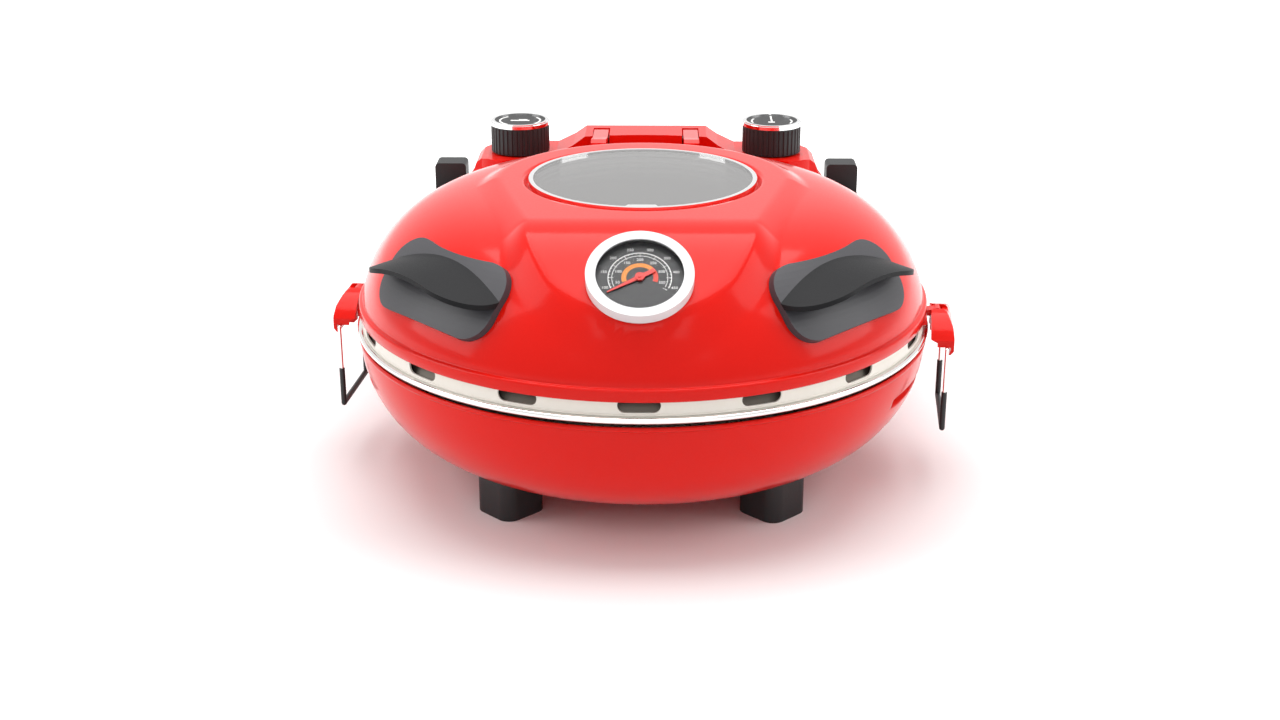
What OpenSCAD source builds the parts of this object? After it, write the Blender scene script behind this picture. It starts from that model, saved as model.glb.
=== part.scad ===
/* [Bowl] */
// Outer radius of the bowl at its rim
rim_r = 172; // [170:0.5:174]
// Height of the bowl rim above the table
rim_z = 89.5; // [87:0.5:94]
// Radius of the round side of the bowl
side_round = 68; // [64:1:70]
// Sheet thickness of the bowl
bowl_wall = 1.5; // [1:0.1:2.2]
// Radius of the rolled bead on the bowl rim
bead_r = 1.4; // [1:0.1:1.8]
// Height of the pressed keeper groove on each side
groove_z = 71.5; // [69:0.5:74]
// Width of the keeper groove
groove_h = 5.6; // [5:0.1:7]
// Depth of the keeper groove
groove_depth = 4.2; // [3.6:0.1:5]
// Angle that the keeper groove runs round the bowl
groove_sweep = 52; // [40:1:60]

/* [Cooking chamber] */
// How far the pizza stone stays inside the bowl rim
stone_in = 16; // [14:0.5:20]
// Thickness of the pizza stone
stone_t = 11; // [8:0.5:12]
// Height of the ledge that carries the stone
ledge_z = 72.7; // [70:0.1:74]
// Width of the ledge under the stone
ledge_w = 12; // [8:0.5:14]
// Height of the chamber floor above the table
floor_z = 44; // [40:0.5:48]
// Sheet thickness of the chamber liners
liner_wall = 1; // [0.8:0.1:1.4]
// Radius of the heating element tube
element_tube_r = 3.3; // [3:0.1:4]
// Radius of the lower element ring
lower_ring_r = 100; // [80:1:115]
// Height of the lower element
lower_ring_z = 57; // [55:0.5:62]
// Radius of the upper element ring
upper_ring_r = 95; // [85:1:105]
// Height of the upper element
upper_ring_z = 145; // [140:0.5:147]

/* [Lid rim] */
// How far the rolled lip of the lid stands out past the bowl rim
lip_over = 0; // [0:0.1:1]
// Height of the lower edge of the lip
lip_z = 105; // [103:0.5:107]
// Height of the rolled lip
lip_h = 7.5; // [6:0.5:9]
// Height of the lowest edge of the lid
ring_z = 93; // [92.5:0.1:94]
// Height of the polished ring under the vent band
ring_h = 3.6; // [3:0.1:4.2]
// How far the polished ring stands out from the vent band
ring_out = 3.2; // [2.4:0.1:3.6]
// How far the vent band lies inside the lip
band_in = 1.6; // [1.6:0.1:3]
// Number of vent slots in the band
vent_count = 16; // [8:1:24]
// Length of a vent slot
vent_l = 23; // [12:1:26]
// Height of a vent slot
vent_h = 8; // [5:0.5:8]

/* [Dome] */
// How far the dome starts inside the lip
dome_in = 2.5; // [2.5:0.1:4]
// Height of the dome above the lip
dome_h = 65; // [60:1:70]
// Thickness of the lid shell
shell_t = 1.6; // [1.2:0.1:2.4]
// Height of the raised top panel above the table
panel_z = 180.5; // [179:0.5:183]
// Radius of the top panel round the window
panel_r = 87; // [84:1:92]
// Radius of the top panel round the gauge
panel_front_r = 64; // [58:1:68]
// Distance from the window to the middle of the panel front
panel_front_y = 92; // [86:1:96]
// Width of the sloping flank of the top panel
flank_w = 13.5; // [12:0.5:14]

/* [Window] */
// Outer radius of the window trim ring
trim_r = 68.2; // [67:0.1:70]
// Width of the face of the window trim ring
trim_w = 2.6; // [2.4:0.1:4]
// Glass thickness
glass_t = 3.5; // [3:0.1:4.5]
// Depth of the seat pressed in the lid for the window
seat_depth = 5; // [4.5:0.1:6]

/* [Gauge] */
// How far the middle of the gauge stays inside the foot of the dome
gauge_in = 29; // [27:0.5:31]
// Height of the gauge face
gauge_z = 166.1; // [164:0.1:167]
// Lean of the gauge face
gauge_tilt = 33; // [28:1:34]
// Outer radius of the gauge bezel
bezel_r = 28.9; // [27:0.1:32]
// Radius of the dial that shows
dial_r = 23.5; // [20:0.5:25]
// Height of the gauge face above its pad
gauge_h = 6; // [5.5:0.5:8]

/* [Handles] */
// Bearing of the handle centres from the sides towards the front
handle_turn = 43; // [40:1:46]
// Length of the handle plate along the rim
plate_l = 99; // [88:1:104]
// Height of the handle plate up the dome
plate_w = 45.5; // [40:0.5:50]
// Thickness of the handle plate
plate_t = 4; // [3:0.5:5]
// Thickness of the grip blade
grip_t = 2.6; // [2.2:0.1:4]
// Corner radius of the grip blade seen from above
grip_r = 28; // [20:1:32]
// Radius of the arch of the grip blade
grip_arch = 112; // [105:1:130]

/* [Latches] */
// Turn of the latches away from the side to side line
latch_turn = 5.5; // [0:0.5:8]
// How far the lever pin lies outside the lip of the lid
pin_out = 6.5; // [6.4:0.1:7]
// Height of the lever pin
lever_pin_z = 103.7; // [103:0.1:104]
// Distance between the lever pin and the wire pin
throw = 16.6; // [15.6:0.1:17]
// Angle through which the lever swings up
lever_swing = 152.5; // [148:0.5:154]
// Length of the lever along the rim
lever_l = 50; // [46:1:54]
// Gap between the lever and the arms of the wire loop
loop_gap = 1.2; // [0.6:0.1:2]
// Radius of the loop wire
wire_r = 1.1; // [0.9:0.1:1.3]
// Radius of the sleeve on the wire loop
sleeve_r = 1.7; // [1.5:0.1:1.9]

/* [Console] */
// How far the sides of the console stay inside the bowl rim
console_in = 22; // [20:1:26]
// Depth of the console behind the bowl rim
console_deep = 32; // [30:1:36]
// How far the rounded rear corners stand out past the bowl rim
console_out = 50; // [48:1:54]
// Gap between the lid and the console
console_gap = 3.5; // [3:0.1:5]
// Height of the middle ledge
ledge_top = 164; // [163:0.5:165]
// Height of the platforms under the knobs
platform_z = 152.7; // [152:0.1:154]
// Height of the outer wings
wing_z = 120; // [116:1:123]
// Height of the underside of the console
console_foot = 66; // [62:1:70]
// Wall thickness of the console
console_wall = 2.4; // [2:0.1:3]

/* [Knobs] */
// Distance of a knob from the middle line
knob_x = 87; // [84:0.5:90]
// Distance of the knob axes behind the bowl rim
knob_back = 3; // [2:0.5:6]
// Radius of a knob
knob_r = 20.5; // [18:0.5:21]
// Height of a knob
knob_h = 21.3; // [18:0.1:24]
// Number of flutes round a knob
flute_count = 36; // [24:1:44]
// Radius of a knob shaft
shaft_r = 3; // [2.5:0.1:3.5]

/* [Hinge] */
// Distance of the hinge pin behind the bowl rim
hinge_back = 14; // [13:0.5:16]
// Height of the hinge pin
hinge_z = 158; // [157:0.5:158.5]
// Radius of the hinge pin
hinge_pin_r = 3; // [2.5:0.1:3.5]
// Distance of a hinge arm from the middle line
arm_x = 31; // [29:0.5:33]
// Width of a hinge arm
arm_w = 10; // [8:0.5:11]
// Radius of the eye of a hinge arm
arm_eye_r = 7; // [6.5:0.1:7.4]

/* [Feet] */
// Distance of a foot from the middle line
foot_x = 77; // [72:1:80]
// Distance of a foot from the front to back middle
foot_y = 80; // [74:1:82]
// Width of a foot
foot_w = 31; // [27:1:34]
// Width of a rear stand foot
stand_w = 22; // [18:1:22]
// Height of the top of a rear stand foot
stand_top = 138; // [136:1:142]
// How far the stand feet reach behind the console
stand_out = 10; // [8:1:12]
// Depth of a rear stand foot
stand_deep = 18; // [14:1:22]

/* [Hidden] */

// Clearances
run_gap = 0.05;     // between a pin or shaft and its bore
seat_gap = 0.2;     // between two seated curved sheets
screw_gap = 0.15;   // between a screw and its hole
big = 600;          // longer than the whole object
round_fn = 96;      // facets that stand for a true circle
small_fn = 32;      // the same for small fittings

// Sizes that follow the bowl rim
lip_r = rim_r + lip_over;
dome_r = lip_r - dome_in;
band_r = lip_r - band_in;
stone_r = rim_r - stone_in;
pane_r = trim_r - trim_w;
gauge_y = dome_r - gauge_in;
lever_pin_u = lip_r + pin_out;
console_x = rim_r - console_in;
console_back = rim_r + console_deep;
console_round = rim_r + console_out;
knob_y = rim_r + knob_back;
hinge_y = rim_r + hinge_back;
stand_x = console_x - stand_w / 2;
stand_back = console_back + stand_out;

// Colours
red = [0.80, 0.05, 0.04];
black = [0.10, 0.10, 0.11];
grey_plastic = [0.22, 0.22, 0.23];
steel = [0.75, 0.75, 0.75];
dark_steel = [0.35, 0.35, 0.36];
cream = [0.85, 0.80, 0.70];

// ---- Bowl -------------------------------------------------------------------------------

bowl_floor = rim_z - side_round;

// Half section of the bowl, filled, with its skin moved in by o
module bowl_section(o) {
    flat = rim_r - side_round;
    translate([0, bowl_floor + o]) square([flat, side_round - o]);
    intersection() {
        translate([flat, rim_z]) circle(r = side_round - o, $fn = round_fn);
        translate([flat, bowl_floor]) square(side_round);
    }
}

// Radius of the outside of the bowl at height z
function bowl_r_at(z) = rim_r - side_round + sqrt(pow(side_round, 2) - pow(rim_z - z, 2));

bowl_skin_in = bowl_r_at(groove_z) - groove_depth;

module keeper_ring(r_in, r_out, h) {
    rotate([0, 0, -groove_sweep / 2])
        rotate_extrude(angle = groove_sweep, $fn = round_fn)
            translate([r_in, groove_z - h / 2]) square([r_out - r_in, h]);
}

module at_latches() {
    for (a = [-latch_turn, 180 - latch_turn]) rotate([0, 0, a]) children();
}

foot_places = [[-1, -1], [1, -1], [-1, 1], [1, 1]];
spacer_places = [90, 210, 330];
spacer_pcd_r = 76;
spacer_r = 6;
foot_screw_r = 2;
liner_screw_r = 1.9;
wire_window = [44, 18];
wire_window_z = 71;
console_bolt_turns = [-25, 25];
console_bolt_z = 77;
console_bolt_r = 2;

module console_bolt_hole(r) {
    for (a = console_bolt_turns) rotate([0, 0, a]) translate([0, rim_r - 12, console_bolt_z])
        rotate([-90, 0, 0]) cylinder(r = r, h = 24, $fn = small_fn);
}

module base_bowl() {
    color(red) difference() {
        union() {
            rotate_extrude($fn = round_fn) {
                difference() {
                    bowl_section(0);
                    bowl_section(bowl_wall);
                }
                translate([rim_r - bead_r / 2, rim_z]) circle(r = bead_r, $fn = small_fn);
            }
            intersection() {
                at_latches() keeper_ring(bowl_skin_in - bowl_wall, rim_r, groove_h + 2 * bowl_wall);
                rotate_extrude($fn = round_fn) bowl_section(0);
            }
        }
        at_latches() keeper_ring(bowl_skin_in, rim_r + 5, groove_h);
        for (p = foot_places) translate([p.x * foot_x, p.y * foot_y, 0])
            cylinder(r = foot_screw_r + screw_gap, h = rim_z / 2, $fn = small_fn);
        for (a = spacer_places) rotate([0, 0, a]) translate([spacer_pcd_r, 0, 0])
            cylinder(r = liner_screw_r + screw_gap, h = rim_z / 2, $fn = small_fn);
        translate([-wire_window.x / 2, rim_r - 25, wire_window_z - wire_window.y / 2])
            cube([wire_window.x, 50, wire_window.y]);
        console_bolt_hole(console_bolt_r + screw_gap);
    }
}

// ---- Cooking chamber --------------------------------------------------------------------

ledge_out_r = stone_r + 1.8;
ledge_in_r = stone_r - ledge_w + 1;
flange_out_r = rim_r - bead_r * 1.5 - 0.3;
corner_cut = 5;
leg_turn = 15;
leg_x = lower_ring_r * sin(leg_turn);
upper_leg_x = upper_ring_r * sin(leg_turn);
leg_hole_r = element_tube_r + 1;

// A heating element: a ring open at the back, with two legs that run to the rear
module element(ring_r, z, leg_end) {
    color(dark_steel) translate([0, 0, z]) {
        rotate([0, 0, 90 + leg_turn])
            rotate_extrude(angle = 360 - 2 * leg_turn, $fn = round_fn)
                translate([ring_r, 0]) circle(r = element_tube_r, $fn = small_fn);
        for (s = [-1, 1])
            translate([s * ring_r * sin(leg_turn), ring_r * cos(leg_turn) - element_tube_r, 0])
                rotate([-90, 0, 0]) cylinder(r = element_tube_r - 0.1,
                    h = leg_end - ring_r * cos(leg_turn) + element_tube_r, $fn = small_fn);
    }
}

module leg_holes(x, z) {
    for (s = [-1, 1]) translate([s * x, 110, z]) rotate([-90, 0, 0])
        cylinder(r = leg_hole_r, h = 50, $fn = small_fn);
}

module chamber_liner() {
    w = liner_wall;
    color(steel) difference() {
        rotate_extrude($fn = round_fn) polygon([
            [0, floor_z], [ledge_in_r + w - corner_cut, floor_z],
            [ledge_in_r + w, floor_z + corner_cut], [ledge_in_r + w, ledge_z - w],
            [ledge_out_r + w, ledge_z - w], [ledge_out_r + w, rim_z - 0.3],
            [flange_out_r, rim_z - 0.3], [flange_out_r, rim_z + w - 0.3],
            [ledge_out_r, rim_z + w - 0.3], [ledge_out_r, ledge_z], [ledge_in_r, ledge_z],
            [ledge_in_r, floor_z + corner_cut + w / 2],
            [ledge_in_r + w / 2 - corner_cut, floor_z + w], [0, floor_z + w]]);
        leg_holes(leg_x, lower_ring_z);
        for (a = spacer_places) rotate([0, 0, a]) translate([spacer_pcd_r, 0, floor_z - 1])
            cylinder(r = liner_screw_r + screw_gap, h = 3 * w, $fn = small_fn);
    }
}

module liner_spacers() {
    color(steel) for (a = spacer_places) rotate([0, 0, a])
        translate([spacer_pcd_r, 0, bowl_floor + bowl_wall]) difference() {
            cylinder(r = spacer_r, h = floor_z - bowl_floor - bowl_wall, $fn = small_fn);
            translate([0, 0, -1]) cylinder(r = liner_screw_r + screw_gap, h = floor_z, $fn = small_fn);
        }
}

// A screw with its head below the origin plane, its shank above and a nut at the far end
module screw_and_nut(r, head_r, head_h, shank, nut_r, nut_z, nut_h) {
    translate([0, 0, -head_h]) cylinder(r = head_r, h = head_h, $fn = small_fn);
    translate([0, 0, -head_h / 2]) cylinder(r = r, h = shank + head_h / 2, $fn = small_fn);
    translate([0, 0, nut_z]) cylinder(r = nut_r, h = nut_h, $fn = 6);
}

module liner_screws() {
    color(steel) for (a = spacer_places) rotate([0, 0, a]) translate([spacer_pcd_r, 0, bowl_floor])
        screw_and_nut(liner_screw_r, 4, 2, floor_z - bowl_floor + 5, 3.6,
            floor_z - bowl_floor + liner_wall, 2.6);
}

module lower_element() {
    element(lower_ring_r, lower_ring_z, rim_r - 17);
}

module lower_element_posts() {
    top = lower_ring_z - element_tube_r;
    color(steel) for (a = [-90, 30, 150]) rotate([0, 0, a])
        translate([lower_ring_r, 0, floor_z + liner_wall])
            cylinder(r = 4, h = top - floor_z - liner_wall, $fn = small_fn);
}

module pizza_stone() {
    c = 1.5;
    color(cream) rotate_extrude($fn = round_fn) translate([0, ledge_z]) polygon([
        [0, 0], [stone_r - c, 0], [stone_r, c], [stone_r, stone_t - c], [stone_r - c, stone_t],
        [0, stone_t]]);
}

// ---- Feet -------------------------------------------------------------------------------

foot_round = 8;
foot_recess_r = 6.5;
foot_recess_h = 8;

module rounded_square(w, r) {
    for (p = foot_places) translate([p.x * (w / 2 - r), p.y * (w / 2 - r)])
        circle(r = r, $fn = small_fn);
    square([w, w - 2 * r], center = true);
    square([w - 2 * r, w], center = true);
}

module foot(sx, sy) {
    color(black) difference() {
        translate([sx * foot_x, sy * foot_y, 0]) difference() {
            rotate([0, 0, 45]) linear_extrude(height = bowl_floor + 12)
                rounded_square(foot_w, foot_round);
            translate([0, 0, -1]) cylinder(r = foot_recess_r, h = foot_recess_h + 1, $fn = small_fn);
            cylinder(r = foot_screw_r + screw_gap, h = 40, $fn = small_fn);
        }
        rotate_extrude($fn = round_fn) bowl_section(-run_gap);
        translate([0, 0, rim_z - 10]) cylinder(r = rim_r, h = 20);
    }
}

module foot_front_left() { foot(-1, -1); }
module foot_front_right() { foot(1, -1); }
module foot_rear_left() { foot(-1, 1); }
module foot_rear_right() { foot(1, 1); }

module foot_screws() {
    nut_lift = 1.3;     // the nut stands over the curved edge of the bowl's floor
    rise = bowl_floor + bowl_wall + nut_lift - foot_recess_h;
    color(steel) for (p = foot_places) translate([p.x * foot_x, p.y * foot_y, foot_recess_h])
        screw_and_nut(foot_screw_r, 5, 3, rise + 5, 4, rise, 3);
}

// ---- Rear console -----------------------------------------------------------------------

console_in_r = lip_r + console_gap;
ledge_half = 42;
tower_out = 118;
slot_gap = 0.8;
cheek_t = 3;
slot_back = hinge_y + arm_eye_r + 3;
slot_floor = hinge_z - arm_eye_r - 3.5;
cover_half = 80;
cover_lo = 74;
cover_hi = 148;
cover_t = 2;
gland_z = 90;
gland_bore_r = 4;
gland_tube_r = 6.5;

// Front view of half the console, with its skin moved in by w
function console_half(w) = [
    [ledge_half, ledge_top - w], [ledge_half + 8 - 0.4 * w, ledge_top - 5.5 - w],
    [ledge_half + 20 - 0.4 * w, platform_z - w], [tower_out - 10 - 0.3 * w, platform_z - w],
    [tower_out - 5 - 0.6 * w, platform_z - 1.3 - 0.8 * w],
    [tower_out - 1.5 - 0.8 * w, platform_z - 4.5 - 0.5 * w],
    [tower_out + 0.5 - w, platform_z - 9.5 - 0.3 * w],
    [tower_out + 3 - w, platform_z - 15.5 - 0.4 * w],
    [tower_out + 8 - 0.8 * w, platform_z - 22.5 - 0.7 * w],
    [tower_out + 18 - 0.6 * w, wing_z + 4.5 - w], [console_x - w, wing_z - w],
    [console_x - w, console_foot + w]];

tower_r = tower_out - knob_x;      // round corner of the tower under a knob, in plan
tower_foot = wing_z + 4.5;         // height where the towers rise from the wings

// Plan of half the console above its wings: a round tower under the knob, wider at the back
module tower_plan(w) {
    translate([knob_x, knob_y]) circle(r = tower_r - w, $fn = round_fn);
    polygon([[0, 0], [knob_x, 0], [knob_x, knob_y], [knob_x + (tower_r - w) * 0.82,
        knob_y - (tower_r - w) * 0.57], [console_x - w, knob_y + 10], [console_x - w, console_back],
        [0, console_back]]);
}

function mirrored(points) = [for (i = [len(points) - 1:-1:0]) [-points[i].x, points[i].y]];

module console_solid(w) {
    intersection() {
        translate([0, big / 2, 0]) rotate([90, 0, 0]) linear_extrude(height = big)
            polygon(concat(console_half(w), mirrored(console_half(w))));
        linear_extrude(height = big) difference() {
            intersection() {
                circle(r = console_round - w, $fn = round_fn);
                translate([-console_x, 0]) square([2 * console_x, console_back - w]);
            }
            circle(r = console_in_r + w, $fn = round_fn);
        }
        union() {
            translate([-big / 2, 0, 0]) cube([big, big, tower_foot - w]);
            for (m = [0, 1]) mirror([m, 0, 0]) linear_extrude(height = big) tower_plan(w);
        }
    }
}

module hinge_bore(r) {
    translate([-big / 2, hinge_y, hinge_z]) rotate([0, 90, 0]) cylinder(r = r, h = big, $fn = small_fn);
}

module console_housing() {
    slot_w = arm_w + 2 * slot_gap;
    pin_half = arm_x + slot_w / 2 + cheek_t;
    color(red) difference() {
        union() {
            difference() {
                console_solid(0);
                console_solid(console_wall);
            }
            intersection() {
                console_solid(0);
                for (s = [-1, 1]) translate([s * arm_x - slot_w / 2 - cheek_t, 0, slot_floor - cheek_t])
                    cube([slot_w + 2 * cheek_t, slot_back + cheek_t, big]);
            }
            intersection() {
                rotate([0, 0, 90 - 40]) rotate_extrude(angle = 80, $fn = round_fn)
                    translate([rim_r + bead_r / 2 + seat_gap, rim_z - 6])
                        square([console_in_r - rim_r, 5]);
                cylinder(r = console_in_r + console_wall / 2, h = big, $fn = round_fn);
            }
            for (a = console_bolt_turns) rotate([0, 0, a])
                translate([0, bowl_r_at(console_bolt_z) + seat_gap, console_bolt_z])
                    rotate([-90, 0, 0]) cylinder(r = 5,
                        h = console_in_r + 1 - bowl_r_at(console_bolt_z), $fn = small_fn);
        }
        for (s = [-1, 1]) {
            translate([s * arm_x - slot_w / 2, 0, slot_floor]) cube([slot_w, slot_back, big]);
            translate([s * knob_x, knob_y, platform_z - 10])
                cylinder(r = bush_r + screw_gap, h = 20, $fn = small_fn);
        }
        intersection() {
            hinge_bore(hinge_pin_r + run_gap);
            translate([-pin_half, 0, 0]) cube([2 * pin_half, big, big]);
        }
        translate([-cover_half + 4, console_back - 6, cover_lo + 4])
            cube([2 * cover_half - 8, 20, cover_hi - cover_lo - 8]);
        for (x = [-1, 1], z = [cover_lo + 2, cover_hi - 2])
            translate([x * (cover_half - 12), console_back - 6, z]) rotate([-90, 0, 0])
                cylinder(r = cover_screw_r + screw_gap, h = 20, $fn = small_fn);
        translate([-wire_window.x / 2, rim_r - 2, wire_window_z - 3]) cube([wire_window.x, 12, 14]);
        console_bolt_hole(console_bolt_r + screw_gap);
        rotate_extrude($fn = round_fn) bowl_section(-seat_gap);
    }
}

module console_bolts() {
    color(steel) for (a = console_bolt_turns) rotate([0, 0, a])
        translate([0, bowl_r_at(console_bolt_z) - bowl_wall - 1.2, console_bolt_z])
            rotate([-90, 0, 0]) screw_and_nut(console_bolt_r, 4, 2.4, 14, 3.8,
                console_in_r + console_wall - bowl_r_at(console_bolt_z) + bowl_wall + 1.6, 3);
}

cover_screw_r = 1.5;

module console_back_cover() {
    color(black) difference() {
        translate([-cover_half, console_back, cover_lo])
            cube([2 * cover_half, cover_t, cover_hi - cover_lo]);
        for (x = [-1, 1], z = [cover_lo + 2, cover_hi - 2])
            translate([x * (cover_half - 12), console_back - 1, z]) rotate([-90, 0, 0])
                cylinder(r = cover_screw_r + screw_gap, h = 10, $fn = small_fn);
        translate([0, console_back - 1, gland_z]) rotate([-90, 0, 0])
            cylinder(r = gland_tube_r + screw_gap, h = 10, $fn = small_fn);
        for (i = [-3:3]) for (s = [-1, 1])
            translate([s * 45 + i * 7 - 1.5, console_back - 1, cover_hi - 36]) cube([3, 10, 24]);
    }
}

module cover_screws() {
    color(steel) for (x = [-1, 1], z = [cover_lo + 2, cover_hi - 2])
        translate([x * (cover_half - 12), console_back + cover_t, z]) rotate([90, 0, 0])
            screw_and_nut(cover_screw_r, 3, 1.6, 8, 3, cover_t + console_wall + 0.3, 2);
}

module stand_foot(s) {
    r = 3;
    color(black) difference() {
        union() {
            translate([s * stand_x, stand_back, 0]) rotate([90, 0, 0])
                linear_extrude(height = stand_deep) translate([0, (wing_z - 14 + stand_top) / 2])
                    stand_outline(stand_top - wing_z + 14, r);
            translate([s * stand_x - stand_w / 2, rim_r - 12, wing_z - 13])
                cube([stand_w, stand_back - stand_deep + 17 - rim_r, 11]);
        }
        console_solid(-seat_gap);
    }
}

module stand_outline(h, r) {
    square([stand_w, h - 2 * r], center = true);
    square([stand_w - 2 * r, h], center = true);
    for (p = foot_places) translate([p.x * (stand_w / 2 - r), p.y * (h / 2 - r)])
        circle(r = r, $fn = small_fn);
}

module stand_foot_left() { stand_foot(-1); }
module stand_foot_right() { stand_foot(1); }

module hinge_pin() {
    half = arm_x + arm_w / 2 + slot_gap + cheek_t;
    color(steel) translate([-half, hinge_y, hinge_z]) rotate([0, 90, 0])
        cylinder(r = hinge_pin_r, h = 2 * half, $fn = small_fn);
}

module cord_gland() {
    color(black) translate([0, console_back, gland_z]) rotate([-90, 0, 0]) difference() {
        union() {
            translate([0, 0, -6]) cylinder(r = gland_tube_r, h = 14, $fn = small_fn);
            translate([0, 0, cover_t]) cylinder(r = gland_tube_r + 3, h = 3, $fn = small_fn);
        }
        translate([0, 0, -10]) cylinder(r = gland_bore_r, h = 30, $fn = small_fn);
    }
}

module terminal_block() {
    color(cream) translate([-16, console_back - 23, console_foot + console_wall]) difference() {
        cube([32, 12, 12]);
        for (i = [0:3]) translate([4 + 8 * i, 6, 6]) cylinder(r = 1.8, h = 10, $fn = small_fn);
    }
}

// ---- Timer, thermostat and knobs --------------------------------------------------------

bush_r = 5;
bush_h = 2.6;
knob_z = platform_z + 1.1;
knob_bore_h = knob_h - 4;
shaft_l = 20;
under_platform = platform_z - console_wall;

module control_body(s, r, h) {
    translate([s * knob_x, knob_y, 0]) difference() {
        union() {
            translate([0, 0, under_platform - h]) cylinder(r = r, h = h, $fn = round_fn);
            translate([0, 0, under_platform - 1]) cylinder(r = bush_r, h = bush_h + 1, $fn = small_fn);
        }
        translate([0, 0, under_platform - shaft_l / 2])
            cylinder(r = shaft_r + run_gap, h = big, $fn = small_fn);
    }
}

module control_shaft(s) {
    color(steel) translate([s * knob_x, knob_y, under_platform - shaft_l / 2 + 0.2])
        cylinder(r = shaft_r, h = knob_z + knob_bore_h - 0.2 - under_platform + shaft_l / 2 - 0.2,
            $fn = small_fn);
}

module timer_body() { color(cream) control_body(-1, 15, 26); }
module thermostat_body() { color(dark_steel) control_body(1, 14, 18); }
module timer_shaft() { control_shaft(-1); }
module thermostat_shaft() { control_shaft(1); }

// Bulb of the thermostat under the chamber floor, with its thin tube up to the body
module thermostat_probe() {
    tube_r = 0.8;
    bulb_r = 3;
    bulb_z = floor_z - bulb_r - 0.1;
    path = [[60, 110, bulb_z], [59, 130, bulb_z], [30, rim_r - 19, 60], [18, rim_r - 8, 71],
        [22, rim_r + 18, 74], [70, rim_r + 14, 90], [knob_x, knob_y, under_platform - 18 - tube_r / 2]];
    color(steel) {
        translate([60, 70, bulb_z]) rotate([-90, 0, 0]) cylinder(r = bulb_r, h = 40, $fn = small_fn);
        for (i = [0:len(path) - 2]) rod(path[i], path[i + 1], tube_r * (1 + 0.04 * (i % 2)));
    }
}

// A round rod from a to b, a little longer at both ends so that the next one joins it
module rod(a, b, r) {
    v = b - a;
    translate(a) rotate([0, acos(v.z / norm(v)), atan2(v.y, v.x)]) translate([0, 0, -r / 2])
        cylinder(r = r, h = norm(v) + r, $fn = 16);
}

trim_h = 3;

module knob(s) {
    flute_r = 0.9;
    skirt = knob_h - trim_h;
    color(black) translate([s * knob_x, knob_y, knob_z]) difference() {
        union() {
            cylinder(r = knob_r - 0.4, h = skirt, $fn = round_fn);
            cylinder(r = knob_r - 3, h = knob_h - 1, $fn = round_fn);
        }
        translate([0, 0, -1]) cylinder(r = shaft_r, h = knob_bore_h + 1, $fn = small_fn);
        translate([0, 0, -1]) cylinder(r = bush_r + 1.5, h = 4, $fn = small_fn);
        for (i = [0:flute_count - 1]) rotate([0, 0, i * 360 / flute_count])
            translate([knob_r - 0.2, 0, -1]) cylinder(r = flute_r, h = skirt, $fn = 16);
    }
}

module knob_trim(s) {
    color(steel) translate([s * knob_x, knob_y, knob_z + knob_h - trim_h]) difference() {
        union() {
            cylinder(r = knob_r, h = trim_h - 0.8, $fn = round_fn);
            cylinder(r = knob_r - 0.8, h = trim_h, $fn = round_fn);
        }
        translate([0, 0, -1]) cylinder(r = knob_r - 3, h = trim_h + 2, $fn = round_fn);
    }
}

module timer_knob() { knob(-1); }
module timer_knob_trim() { knob_trim(-1); }
module thermostat_knob() { knob(1); }
module thermostat_knob_trim() { knob_trim(1); }

// ---- Lid shell --------------------------------------------------------------------------

dome_z = lip_z + lip_h;
dome_p = 5;       // how square the dome is at its shoulder
dome_q = 1.45;    // how round the dome is on top
window_hole_r = pane_r - 1.5;
seat_r = trim_r + 0.7;
pad_slope = tan(gauge_tilt);
pad_y = gauge_y - gauge_h * sin(gauge_tilt);
pad_z = gauge_z - gauge_h * cos(gauge_tilt);
pad_r = bezel_r + 1.6;
panel_soft = 14;   // how softly the top of the panel turns down to the gauge

function smooth(t) = let (c = min(1, max(0, t))) c * c * (3 - 2 * c);
// The larger of two heights, with a fillet of about k between them
function soft_max(a, b, k) = let (h = max(0, k - abs(a - b))) max(a, b) + h * h / (4 * k);
function soft_min(a, b, k) = -soft_max(-a, -b, k);

// Height of the plain dome at radius r
function dome_at(r) = dome_z + dome_h * pow(max(0, 1 - pow(min(r / dome_r, 1), dome_p)), 1 / dome_q);
// Height of the plane that the gauge stands on
function pad_at(y) = pad_z + (y + pad_y) * pad_slope;
// Distance outside the top panel, whose outline narrows from the window to the gauge
function panel_out(x, y) = let (t = min(1, max(0, -y / panel_front_y)))
    norm([x, y + t * panel_front_y]) - (panel_r + t * (panel_front_r - panel_r));

// Height of the lid at x, y: the dome, the raised panel, the gauge pad and the window seat.
// The gauge pad is drawn smaller by inset on the inner side of the sheet.
function lid_at(x, y, inset) = let (
    r = norm([x, y]), dome = dome_at(r),
    top = soft_min(panel_z, pad_at(y), panel_soft),
    raised = dome + max(0, top - dome) * (1 - smooth((panel_out(x, y) + 2) / (flank_w + 2))),
    pad_out = norm([x, (y + pad_y) / cos(gauge_tilt)]) - pad_r + inset,
    pad = soft_max(raised, y < 0 ? pad_at(y) - 5 * max(0, pad_out) : 0, 0.01 + 3 * smooth(pad_out / 4))
) pad - seat_depth * (1 - smooth((r - seat_r) / 3));

grid_n = 104;      // columns of the lid grid
rim_rows = 8;      // rows at the rim, where the dome is steep
seat_rows = 4;     // rows in the wall of the window seat
skin_rows = 31;    // rows of the outer skin
inner_rows = 22;   // rows of the inner skin
rim_band = 13;     // breadth of the rim rows, in radius
grid_crowd = 30;   // how much the columns crowd towards the gauge
// Bearing of a column; the columns stand closer together at the front
function column_turn(j) = let (a = 360 * j / grid_n) a - grid_crowd * cos(a);
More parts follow.
